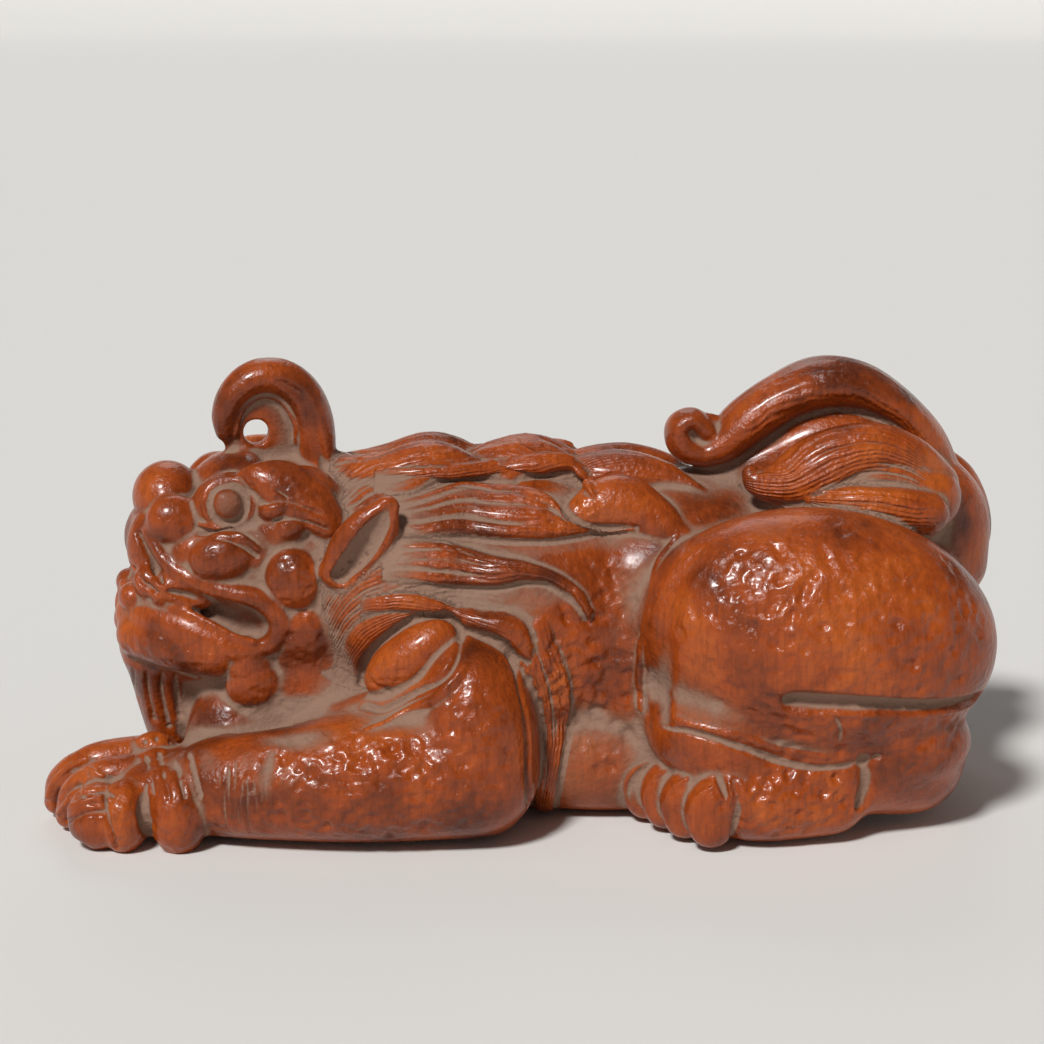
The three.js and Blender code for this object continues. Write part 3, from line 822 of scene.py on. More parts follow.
@dataclass
class Haunch:
    """A thigh with the knee in front of it and the shank folded under it."""

    side: Side
    spread: float = 11.6
    thigh: Row = (15.0, 8.6, 10.7)
    shank: float = 5.1
    dents: tuple[Dents, ...] = (
        ((25.0, 18.5), (12.5, 8.6), 620, (0.3, 0.75), 0.12), ((20.6, 20.0), (3.6, 4.0), 60, (0.3, 0.6), 0.12),
        ((27.0, 9.5), (9.5, 3.6), 200, (0.3, 0.7), 0.13),
    )
    dust: tuple[Dust, ...] = (
        ((13.6, 11.4), (5.6, 4.8), 0.85), ((18, 9.0), (8.0, 1.2), 0.6), ((26, 13), (5.0, 1.0), 0.9),
        ((33, 12.4), (6.0, 0.8), 0.8),
    )

    def rough(self, clay: Clay) -> None:
        """Lays down the thigh, knee, shank and calf.

        Args:
            clay: Where the forms are laid down.
        """
        s = self.side.value
        region = self.side.of("haunch")
        clay.mass(region, (24.6, self.spread * s, 16.9), self.thigh, 6)
        clay.mass(region, (17.5, (self.spread + 0.8) * s, 9.6), (7.2, 5.8, 6.0))
        clay.limb(
            region,
            [(18, 12.4 * s, 8.2, self.shank), (27, 12.0 * s, 6.8, self.shank), (32.6, 9.8 * s, 5.8, self.shank)],
        )
        clay.mass(region, (30.5, 11.4 * s, 8.2), (7.4, 5.6, 4.4), 6)

    def carve(self, carver: Carver) -> None:
        """Cuts the wedge between thigh and shank, the calf's tendon and the line over the foot.

        Args:
            carver: The carver who works on the skin.
        """
        view = beside(self.side)
        carver.stroke(
            view,
            [(21.4, 13.3, 0.9), (22.6, 13.3, 1.2), (25.5, 13.2, 1.1), (29, 12.9, 0.95), (33, 12.5, 0.8),
             (37.5, 12.2, 0.7)],
            1.1, 0.6,
        )
        carver.stroke(view, [(28, 13.3, 0.3), (32, 13.0, 0.35), (38, 12.5, 0.35)], 0.5, 1.4)
        carver.stroke(view, [(23.4, 12.9, 0.3), (24.9, 12.2, 0.4), (25.7, 10.9, 0.4), (25.8, 9.6, 0.2)], 0.35)
        carver.stroke(
            view,
            [(11.4, 10.0, 0.3), (14, 10.2, 0.4), (17.3, 9.3, 0.45), (21.3, 7.7, 0.5), (24.5, 7.1, 0.5),
             (27.6, 7.4, 0.6), (29.2, 8.0, 0.4)],
            0.42, 1.0,
        )
        carver.stroke(view, [(12.3, 11.0, 0.3), (17.3, 10.2, 0.4), (21.3, 8.7, 0.4), (25.0, 8.1, 0.3)], -0.18, 1.2)
        carver.stroke(view, [(28.0, 7.6, 0.8), (28.3, 5.6, 0.9), (28.0, 3.6, 0.8)], 0.7, 0.8)
        carver.wear(view, self.dents, self.dust)


@dataclass
class Hindpaw:
    """A hind foot with its four toes."""

    side: Side
    tips: tuple[Row, ...] = ((13.1, 17.3), (11.2, 15.1), (9.7, 12.8), (8.2, 10.4))

    def rough(self, clay: Clay) -> None:
        """Lays down the foot.

        Args:
            clay: Where the forms are laid down.
        """
        s = self.side.value
        clay.limb(
            self.side.of("hindpaw"),
            [(25.6, 14.2 * s, 3.5, 3.2), (20, 14.7 * s, 4.1, 4.1), (17.0, 14.4 * s, 4.3, 3.9)],
        )

    def detail(self, clay: Clay) -> None:
        """Lays down the toes, each a curved crescent.

        Args:
            clay: Where the forms are laid down.
        """
        s = self.side.value
        region = self.side.of("hindpaw")
        for x, y in self.tips:
            y *= s
            clay.limb(
                region,
                [(x + 5.6, y, 4.9, 1.5, 1.5), (x + 3.4, y, 4.9, 1.6, 1.9), (x + 2.2, y, 3.7, 1.6, 2.0),
                 (x + 2.4, y, 2.2, 1.5, 1.9)],
                (1, 0, 0.4),
            )

    def carve(self, carver: Carver) -> None:
        """Cuts the knuckle's crease.

        Args:
            carver: The carver who works on the skin.
        """
        view = beside(self.side)
        carver.stroke(view, [(17.2, 6.4, 0.3), (17.6, 4.0, 0.5), (17.2, 1.2, 0.4)], 0.3)
        carver.stroke(view, [(15.7, 5.6, 0.2), (16.4, 4.6, 0.3)], 0.25)
        for x, y in self.tips:
            rim = [(x + 2.4, 5.9, 0.25), (x + 1.0, 4.9, 0.32), (x + 0.5, 3.4, 0.32), (x + 0.8, 1.8, 0.25)]
            carver.stroke(view, rim, -0.14, 1.3)
            carver.dusty(view, (x + 0.6, 3.6), (0.8, 2.2), 0.4)
        carver.pits(view, (22.0, 4.4), (6.0, 2.8), 170, (0.28, 0.65), 0.16)


@dataclass
class Foreleg:
    """A shoulder's bulge, the elbow and the forearm along the table."""

    side: Side
    spread: float = 14.5
    drawn: float = 0.0

    def rough(self, clay: Clay) -> None:
        """Lays down the elbow and forearm.

        Args:
            clay: Where the forms are laid down.
        """
        s = self.side.value
        region = self.side.of("foreleg")
        clay.mass(region, (-3.8, (self.spread - 0.8) * s, 8.6), (5.2, 6.0, 8.6), -8)
        d = self.drawn
        clay.limb(
            region,
            [(-4, self.spread * s, 6.0, 5.6), (-13 + 0.4 * d, (self.spread + 0.8) * s, 5.6, 5.3),
             (-21 + 0.8 * d, (self.spread + 0.4) * s, 4.9, 4.6), (-25.5 + d, (self.spread - 0.4) * s, 4.5, 4.2)],
        )
        clay.limb(
            region,
            [(-17 + 0.6 * d, (self.spread - 3.6) * s, 7.6, 2.6), (-11 + 0.3 * d, (self.spread - 2.2) * s, 9.4, 3.2),
             (-6.5, (self.spread - 1.4) * s, 11.4, 3.6)],
        )

    def detail(self, clay: Clay) -> None:
        """Lays down the shoulder's bulge."""
        s = self.side.value
        clay.mass(self.side.of("foreleg"), (-9.2, 12.4 * s, 15.3), (4.7, 2.6, 2.3), -38)

    def carve(self, carver: Carver) -> None:
        """Cuts the creases round the shoulder's bulge and behind the elbow, and the forearm's wear.

        Args:
            carver: The carver who works on the skin.
        """
        view = beside(self.side)
        bulb = [(-13.6, 12.2), (-13.0, 14.8), (-11.2, 16.9), (-8.8, 18.7), (-6.2, 18.8), (-5.0, 17.4),
                (-6.0, 15.2), (-8.6, 13.2), (-11.2, 11.6), (-13.0, 11.4)]
        carver.stroke(view, [(a, b, 0.5) for a, b in bulb], 0.45)
        carver.stroke(
            view,
            [(-12.7, 10.5, 0.3), (-10.5, 11.1, 0.5), (-7.6, 12.7, 0.6), (-5.9, 14.3, 0.6), (-4.6, 15.7, 0.4)],
            -0.3, 1.2,
        )
        x = 0.9 * self.drawn
        carver.stroke(view, [(x - 20.4, 8.6, 0.6), (x - 21.0, 6.2, 1.1), (x - 20.8, 2.6, 0.8)], 0.16, 0.8)
        scratches = np.random.default_rng(7)
        for k in range(16):
            x = -24.6 + 0.24 * k + 0.9 * self.drawn + scratches.uniform(-0.25, 0.25)
            low, high = scatter_span(scratches, 1.6, 8.0)
            bend = scratches.uniform(-0.3, 0.3)
            rows = [(x + bend, high, 0.12), (x, (low + high) / 2, 0.24), (x - bend, low, 0.12)]
            carver.stroke(view, rows, scratches.uniform(0.05, 0.16), 1.2)
        carver.pits(view, (-13.0 + 0.4 * self.drawn, 6.0), (9.5, 4.4), 330, (0.28, 0.7), 0.13)
        carver.pits(view, (-13.0 + 0.4 * self.drawn, 8.2), (8.4, 1.6), 56, (0.4, 0.8), 0.11)
        carver.pits(view, (-4.6, 9.0), (3.6, 6.0), 150, (0.3, 0.7), 0.12)
        carver.pits(view, (-17.0 + 0.4 * self.drawn, 9.6), (7.0, 1.4), 60, (0.3, 0.6), 0.13)
        carver.pits(view, (-10.4, 13.6), (2.4, 1.2), 22, (0.3, 0.55), 0.16)
        carver.stroke(
            view,
            [(-3.4, 17.3, 0.3), (-1.5, 16.8, 0.5), (-0.4, 14.0, 0.6), (0.4, 10.6, 0.6), (0.5, 7.1, 0.6),
             (0.6, 3.5, 0.5)],
            0.5,
        )
        carver.dusty(view, (-12.5, 11.8), (6.5, 2.4), 1.25)
        carver.dusty(view, (-19.5 + 0.4 * self.drawn, 10.0), (6.5, 1.8), 1.6)
        carver.dusty(view, (-6.6, 13.2), (3.4, 1.4), 0.7)
        carver.dusty(view, (-23.6 + 0.9 * self.drawn, 5.0), (2.6, 4.4), 0.5)
        carver.dusty(view, (-13.5, 14.5), (2.6, 4.0), 0.8)
        carver.dusty(view, (-17.5, 10.0), (6.0, 1.6), 0.9)


@dataclass
class Forepaw:
    """A forepaw: its pad, the outer digit, knuckles and three toes."""

    side: Side
    spread: float = 14.5
    drawn: float = 0.0

    def rough(self, clay: Clay) -> None:
        """Lays down the pad.

        Args:
            clay: Where the forms are laid down.
        """
        s = self.side.value
        region = self.side.of("forepaw")
        clay.mass(region, (-29 + self.drawn, (self.spread - 1.8) * s, 3.4), (6, 5.6, 3.6))

    def detail(self, clay: Clay) -> None:
        """Lays down the digit, the knuckles and the toes.

        Args:
            clay: Where the forms are laid down.
        """
        s = self.side.value
        d = self.drawn
        region = self.side.of("forepaw")
        clay.mass(region, (-28.3 + d, (self.spread + 1.9) * s, 3.0), (2.5, 3.0, 3.6))
        clay.mass(region, (-35.0 + d, (self.spread + 1.6) * s, 2.6), (2.6, 2.7, 2.8))
        clay.mass(region, (-32.8 + d, (self.spread + 1.9) * s, 2.7), (2.1, 2.9, 3.1))
        toes = [
            [(-31, 12.4, 5.2, 1.6), (-34.6, 13.0, 5.0, 1.6), (-37.2, 12.8, 3.6, 1.5), (-38.2, 12.4, 1.4, 1.2)],
            [(-31, 8.6, 5.6, 1.7), (-36.0, 9.6, 5.1, 1.75), (-38.9, 9.4, 3.4, 1.6), (-39.8, 9.2, 1.5, 1.2)],
        ]
        for toe in toes:
            clay.limb(region, [(x + d, y * s, z, r) for x, y, z, r in toe], (1, 0, 0.6))
        for x, y, z in ((-30.6, 12.6, 6.2), (-31.4, 9.4, 6.6), (-29.6, 15.6, 5.6)):
            clay.mass(region, (x + d, y * s, z), (1.7, 1.4, 1.1))

    def cuts(self, clay: Clay) -> None:
        """Lays down the notch under the outer toe."""
        s = self.side.value
        clay.mass(self.side.of("forepaw"), (-37.0 + self.drawn, (self.spread + 3.2) * s, 0.0), (1.5, 3.2, 1.1))

    def carve(self, carver: Carver) -> None:
        """Cuts the claw's slit in the outer toe and the rims of the inner ones.

        Args:
            carver: The carver who works on the skin.
        """
        view = beside(self.side)
        d = self.drawn
        slit = [(-34.1, 5.4, 0.2), (-33.9, 3.6, 0.35), (-33.4, 1.8, 0.35), (-33.2, 0.6, 0.2)]
        carver.stroke(view, [(a + d, b, w) for a, b, w in slit], 0.6, 1.4)
        front = [(-30.9, 5.6, 0.3), (-31.0, 3.4, 0.7), (-30.7, 1.2, 0.5)]
        carver.stroke(view, [(a + d, b, w) for a, b, w in front], 0.5)
        for rim in (
            [(-34.8, 5.5), (-36.4, 5.9), (-38.2, 5.1), (-39.7, 3.8), (-40.4, 2.2)],
            [(-33.8, 4.7), (-35.8, 4.5), (-37.7, 3.3), (-38.9, 1.8)],
        ):
            carver.stroke(view, [(a + d, b, 0.35) for a, b in rim], -0.3, 1.2)
            for a, b in rim:
                carver.dusty(view, (a + d, b), (0.9, 0.7), 1.0)
        for groove in (
            [(-34.9, 4.5), (-36.5, 4.8), (-38.0, 4.1), (-39.2, 3.0), (-39.8, 1.6)],
            [(-34.2, 3.9), (-35.8, 3.6), (-37.2, 2.6), (-38.2, 1.3)],
            [(-33.4, 5.1), (-35.8, 5.0), (-37.9, 3.9), (-39.3, 2.2), (-39.7, 0.7)],
        ):
            carver.stroke(view, [(a + d, b, 0.32) for a, b in groove], 0.36, 1.2)
        carver.pits(view, (-30.0 + d, 3.0), (6.5, 3.0), 110, (0.28, 0.6), 0.08)
        carver.dusty(view, (-27.5 + d, 7.6), (5.0, 1.8), 1.3)
        carver.dusty(view, (-31.6 + d, 7.0), (3.6, 1.0), 0.9)


@dataclass
class Head:
    """Skull, snout, nose, brows, eyes, cheeks and upper lip. Places are forward, left and up of the skull."""

    eye: float = 1.45
    eye_forward: float = 6.1
    eye_up: float = 7.4
    eye_rings: tuple[Row, ...] = ((1.5, 0.45, 0.22), (2.05, 0.4, -0.16))  # radius, half width and depth
    dents: tuple[Dents, ...] = (
        ((-0.4, -3.4), (2.4, 3.0), 50, (0.3, 0.6), 0.11), ((0.8, 1.2), (2.0, 2.4), 30, (0.25, 0.5), 0.1),
        ((1.4, 7.6), (3.2, 2.2), 40, (0.25, 0.5), 0.1), ((8.6, 4.0), (3.4, 3.0), 50, (0.25, 0.55), 0.07),
    )
    dust: tuple[Dust, ...] = (
        ((6.1, 7.4), (3.4, 3.2), 1.6), ((6.0, 7.5), (2.3, 2.3), 2.2), ((6.4, 10.0), (2.6, 2.0), 0.7),
        ((3.4, 4.4), (3.0, 2.0), 0.6), ((2.9, 1.4), (1.2, 2.0), 0.6), ((-5.0, -1.0), (3.0, 5.0), 0.85),
        ((-3.4, 7.4), (3.0, 3.4), 0.5), ((6.0, -1.4), (3.8, 1.4), 0.5),
    )

    def rough(self, clay: Clay) -> None:
        """Lays down the skull and snout.

        Args:
            clay: Where the forms are laid down.
        """
        clay.mass(Region.HEAD, (0, 0, 1), (9.4, 9.2, 8.2))
        clay.mass(Region.HEAD, (-1, 0, -3.0), (7.6, 8.6, 6.6))
        clay.limb(
            Region.HEAD,
            [(1.5, 0, 2.6, 7.7, 6.6), (6.5, 0, 3.6, 6.9, 4.6), (10.4, 0, 4.4, 4.9, 3.4)],
            (0, 0, 1),
        )
        clay.limb(Region.HEAD, [(-3.5, 0, 6.5, 4), (3.4, 0, 7.4, 2.8)], (0, 0, 1))
        for s in (-1, 1):
            clay.mass(Region.HEAD, (7.4, 3.6 * s, 2.7), (4.6, 4.0, 3.2))
            clay.mass(Region.HEAD, (5.6, 5.0 * s, 1.2), (3.9, 3.6, 2.8))
            clay.mass(Region.HEAD, (11.1, 1.9 * s, 3.0), (3.5, 3.0, 3.9))
            clay.mass(Region.HEAD, (-0.4, 7.2 * s, -3.8), (4.2, 2.6, 4.4))
            clay.mass(Region.HEAD, (1.0, 5.4 * s, 7.4), (4.4, 3.0, 2.8), 15)

    def detail(self, clay: Clay) -> None:
        """Lays down the features of the face.

        Args:
            clay: Where the forms are laid down.
        """
        clay.mass(Region.HEAD, (10.7, 0, 6.9), (3.0, 3.5, 3.1))
        clay.mass(Region.HEAD, (4.0, 0, 10.2), (1.1, 1.1, 1.3))
        clay.limb(
            Region.HEAD,
            [(7.4, 0, 7.9, 2.4, 1.5), (6.0, 0, 8.9, 3.4, 1.5), (4.0, 0, 9.4, 4.6, 1.4)],
            (0, 0, 1),
        )
        for s in (-1, 1):
            self._features(clay, s)

    def _features(self, clay: Clay, s: int) -> None:
        """Lays down the features of one half of the face, s being 1 on the animal's left.

        Args:
            clay: Where the forms are laid down.
            s: 1 on the animal's left, -1 on its right.
        """
        head = Region.HEAD

        def lump(centre: Row, radii: Row, tilt: float = 0) -> None:
            """Adds a rounded mass to this half."""
            clay.mass(head, (centre[0], centre[1] * s, centre[2]), radii, tilt)

        def cord(rows: Sequence[Row], up: Row = (0, 1, 0)) -> None:
            """Adds a limb to this half."""
            clay.limb(head, [(r[0], r[1] * s, *r[2:]) for r in rows], (up[0], up[1] * s, up[2]))

        lump((10.2, 4.2, 5.4), (2.7, 2.0, 2.4), -28)
        lump((6.0, 4.8, 7.0), (3.0, 2.2, 2.7), 20)
        lump((self.eye_forward, 6.1, self.eye_up), (self.eye, self.eye, self.eye))
        lump((3.4, 6.9, 3.2), (3.0, 1.7, 2.4), 20)
        lump((1.6, 7.0, 4.6), (2.6, 1.7, 2.2))
        lump((6.6, 7.4, 3.1), (2.9, 1.9, 2.1), 12)
        lump((0.9, 8.4, 1.1), (2.5, 2.2, 2.8), 20)
        lump((-0.2, 8.5, -3.4), (2.6, 1.6, 3.0))
        lump((12.7, 4.2, 0.5), (1.3, 1.4, 1.5))
        lump((11.8, 5.7, -0.1), (0.9, 0.9, 1.2))
        lump((9.9, 5.5, -0.1), (2.9, 1.7, 1.5), -20)
        cord([(4.6, 5.6, 9.5, 0.6, 0.7), (3.5, 6.2, 9.5, 1.4, 1.2), (1.6, 6.8, 8.9, 2.2, 1.4),
              (-0.6, 7.4, 7.4, 2.2, 1.4), (-2.4, 7.8, 5.4, 1.5, 1.2)], (0, 1, 0.7))
        lump((2.2, 7.8, 7.2), (1.5, 1.0, 1.0), 30)
        lump((1.0, 8.3, 5.6), (1.5, 0.9, 1.0), 30)
        cord(
            [(12.6, 4.0, 4.6, 0.5, 0.7), (11.8, 5.0, 3.2, 0.6, 0.8), (10.9, 5.8, 2.1, 0.7, 0.8),
             (9.4, 6.8, 1.2, 0.75, 0.8), (7.5, 7.7, 0.5, 0.75, 0.9), (5.6, 8.4, 0.1, 0.8, 0.9),
             (3.9, 8.8, -0.4, 0.95, 0.9), (2.6, 8.9, -1.5, 1.0, 1.0), (2.2, 8.8, -2.9, 0.95, 1.0),
             (2.8, 8.5, -4.2, 0.9, 1.0), (4.3, 8.2, -4.8, 0.8, 0.9), (5.8, 7.8, -4.8, 0.7, 0.7)]
        )

    def carve(self, carver: Carver) -> None:
        """Cuts the eye sockets, the lids, the brows' slits and the dusty creases of the face.

        Args:
            carver: The carver who works on the skin.
        """
        for side in Side:
            view = beside_head(side)
            for reach, width, depth in self.eye_rings:
                ring = [(self.eye_forward + reach * math.cos(turn), self.eye_up + reach * math.sin(turn), width)
                        for turn in (k * math.pi / 5 for k in range(11))]
                carver.stroke(view, ring, depth, 1.2)
            carver.stroke(view, [(8.4, 5.6, 0.3), (6.9, 5.5, 0.45), (5.4, 5.0, 0.45), (3.8, 3.8, 0.3)], -0.4, 1.2)
            carver.stroke(view, [(8.4, 4.9, 0.25), (6.7, 4.9, 0.35), (5.2, 4.3, 0.35), (3.9, 3.2, 0.25)], 0.35, 1.2)
            carver.stroke(view, [(13.5, 4.6, 0.25), (12.9, 3.2, 0.4), (12.2, 1.9, 0.4), (11.8, 1.0, 0.3)], 0.8, 0.9)
            carver.stroke(view, [(14.2, 1.8, 0.2), (13.4, 0.8, 0.35), (12.2, 0.0, 0.3)], 0.5)
            carver.stroke(view, [(2.2, 8.8, 0.15), (1.3, 8.2, 0.25)], 0.5, 1.4)
            carver.stroke(view, [(3.4, 7.6, 0.3), (2.0, 7.9, 0.35), (0.4, 7.5, 0.3), (-1.6, 6.6, 0.2)], 0.3, 1.3)
            carver.stroke(view, [(2.4, 6.2, 0.3), (0.9, 6.4, 0.35), (-0.8, 5.8, 0.3), (-2.2, 5.2, 0.2)], 0.3, 1.3)
            carver.wear(view, self.dents, self.dust)


@dataclass
class Jaw:
    """Lower jaw, tongue, chin beard and the beard curls behind the cheeks."""

    dents: tuple[Dents, ...] = (
        ((3.4, -9.4), (2.4, 1.6), 30, (0.3, 0.5), 0.1), ((11.6, -5.4), (3.4, 1.8), 40, (0.3, 0.7), 0.12),
    )
    dust: tuple[Dust, ...] = (
        ((8.4, -8.6), (3.6, 3.4), 0.9), ((9.6, -12), (3.0, 5.0), 0.95), ((5.0, -13), (5.5, 3.4), 1.0),
    )

    def rough(self, clay: Clay) -> None:
        """Lays down the jaw and the beard.

        Args:
            clay: Where the forms are laid down.
        """
        clay.mass(Region.JAW, (7.2, 0, -5.4), (7.8, 7.6, 4.2))
        clay.limb(Region.JAW, [(12.0, 0, -2.8, 5.0, 3.3), (12.2, 0, -6.2, 4.6, 3.2)], (1, 0, 0))
        clay.limb(
            Region.JAW,
            [(11.2, 0, -4.4, 4.6, 3.9), (11.5, 0, -8.4, 4.0, 3.1), (11.4, 0, -11.8, 3.3, 2.4),
             (11.0, 0, -15.0, 2.8, 1.9)],
            (1, 0, 0),
        )

    def detail(self, clay: Clay) -> None:
        """Lays down the lower lip, tongue and beard curls.

        Args:
            clay: Where the forms are laid down.
        """
        for s in (-1, 1):
            clay.limb(
                Region.JAW,
                [(14.7, 1.0 * s, -0.9, 0.4), (13.6, 3.6 * s, -1.0, 0.4), (11.4, 5.9 * s, -1.3, 0.38),
                 (9.6, 7.1 * s, -1.7, 0.36), (7.9, 8.0 * s, -2.5, 0.36), (6.0, 8.7 * s, -3.5, 0.36),
                 (4.4, 9.0 * s, -4.0, 0.36)],
                (0, s, 0),
            )
            clay.limb(
                Region.JAW,
                [(14.2, 1.6 * s, -2.7, 2.0, 1.3), (12.6, 4.1 * s, -2.9, 1.9, 1.4), (10.4, 5.9 * s, -3.1, 1.7, 1.5),
                 (8.2, 7.1 * s, -3.9, 1.5, 1.5), (6.2, 7.9 * s, -4.7, 1.2, 1.3), (4.6, 8.3 * s, -5.0, 1.0, 1.0)],
                (0, s, 0),
            )
            clay.limb(
                Region.JAW,
                [(13.4, 2.6 * s, -4.4, 2.2, 2.2), (10.6, 5.0 * s, -4.8, 2.3, 2.5), (7.6, 6.7 * s, -5.4, 2.0, 2.3)],
                (0, s, 0),
            )
            clay.mass(Region.JAW, (4.7, 7.4 * s, -6.2), (2.3, 1.8, 2.4), 10)
            clay.mass(Region.JAW, (4.2, 7.4 * s, -8.0), (2.6, 1.9, 2.6), -15)
            clay.mass(Region.JAW, (14.1, 2.6 * s, -1.1), (1.2, 1.6, 1.2))
        clay.limb(Region.JAW, [(5, 0, -3.0, 3.6, 1.4), (11.5, 0, -1.2, 2.4, 1.0)], (0, 0, 1))

    def carve(self, carver: Carver) -> None:
        """Cuts the crease under the chin and the strands of the beard.

        Args:
            carver: The carver who works on the skin.
        """
        for side in Side:
            view = beside_head(side)
            carver.stroke(view, [(15.2, -6.6, 0.6), (13.4, -6.9, 0.9), (11.4, -7.2, 0.9), (9.4, -7.6, 0.5)], 0.3)
            for i, forward in enumerate((14.3, 13.2, 12.0, 10.8)):
                carver.stroke(
                    view,
                    [(forward, -7.6, 0.2), (forward - 0.1, -9.8, 0.4), (forward - 0.5, -12.2, 0.4),
                     (forward - 0.9 - 0.1 * i, -15, 0.25)],
                    0.35, 1.2,
                )
            carver.wear(view, self.dents, self.dust)


@dataclass
class Horn:
    """The horn that curls forward over the brow, with a web inside its curl."""

    web: float = 0.8
    hole: float = 1.1

    def detail(self, clay: Clay) -> None:
        """Lays down the curl and the web.

        Args:
            clay: Where the forms are laid down.
        """
        line = [
            (-1.9, 0, 7.4, 2.3, 2.0), (-2.0, 0, 9.2, 2.4, 1.85), (-2.1, 0, 11.2, 2.4, 1.8),
            (-1.9, 0, 13.2, 2.4, 1.8), (-1.2, 0, 15.1, 2.3, 1.75), (0.1, 0, 16.5, 2.2, 1.7),
            (1.9, 0, 17.1, 2.1, 1.6), (3.7, 0, 16.6, 2.0, 1.45), (5.0, 0, 15.3, 1.8, 1.3),
            (5.6, 0, 13.7, 1.5, 1.15), (5.6, 0, 12.4, 1.1, 0.9),
        ]
        ups = [tuple(Vector((f - 1.9, 0, u - 12.8)).normalized()) for f, _, u, *_ in line]
        clay.limb(Region.HORN, line, ups)
        clay.mass(Region.HORN, (1.9, 0, 12.2), (4.0, self.web, 4.4))

    def cuts(self, clay: Clay) -> None:
        """Lays down the small hole through the web."""
        clay.limb(Region.HORN, [(3.0, -3, 12.3, self.hole), (3.0, 3, 12.3, self.hole)], (0, 0, 1))

    def carve(self, carver: Carver) -> None:
        """Cuts the groove along the horn's side and lays dust on the web.

        Args:
            carver: The carver who works on the skin.
        """
        for side in Side:
            view = beside_head(side)
            carver.stroke(
                view,
                [(-2.7, 9.0, 0.5), (-2.1, 11.3, 0.7), (-1.5, 13.8, 0.7), (-0.7, 15.6, 0.6), (1.0, 16.8, 0.4)],
                0.3, 0.8,
            )
            rim = [(4.8, 12.2), (4.5, 13.7), (3.7, 14.8), (2.3, 15.4), (0.8, 14.9), (-0.3, 13.1), (-0.4, 11.4)]
            carver.stroke(view, [(a, b, 0.4) for a, b in rim], -0.3, 1.2)
            carver.dusty(view, (1.9, 11.8), (3.0, 4.0), 0.9)


@dataclass
class Ear:
    """A cupped, leaf-shaped ear. The left one stands, the right one lies lower."""

    side: Side

    def _leaf(self, scale: float, out: float) -> list[Row]:
        """Stations of the ear's leaf, drawn in by a scale and moved outwards.

        Args:
            scale: Size of the leaf's rings.
            out: How far outwards it is moved.

        Returns:
            Rows of x, y, z, half width and half height.
        """
        s = -self.side.value
        lift = 1.0 if self.side is Side.LEFT else 0.6
        return [
            (-2.6, (10.2 + out) * s, 1.9, 1.7 * scale, 1.4 * scale),
            (-4.1, (11.0 + out) * s, 1.3 + 2.6 * lift, 2.45 * scale, 1.5 * scale),
            (-5.7, (11.5 + out) * s, 1.2 + 4.9 * lift, 2.1 * scale, 1.3 * scale),
            (-6.7, (11.8 + out) * s, 1.2 + 6.6 * lift, 1.0 * scale, 0.8 * scale),
        ]

    def detail(self, clay: Clay) -> None:
        """Lays down the leaf."""
        clay.limb(self.side.of("ear"), self._leaf(1.0, 0.0), (0, 1, 0))

    def cuts(self, clay: Clay) -> None:
        """Lays down the hollow of the leaf."""
        clay.limb(self.side.of("ear"), self._leaf(0.5, 1.0), (0, 1, 0))

    def carve(self, carver: Carver) -> None:
        """Lays dust in the hollow."""
        carver.dusty(beside_head(self.side), (-4.4, 4.2), (2.2, 3.2), 0.7)


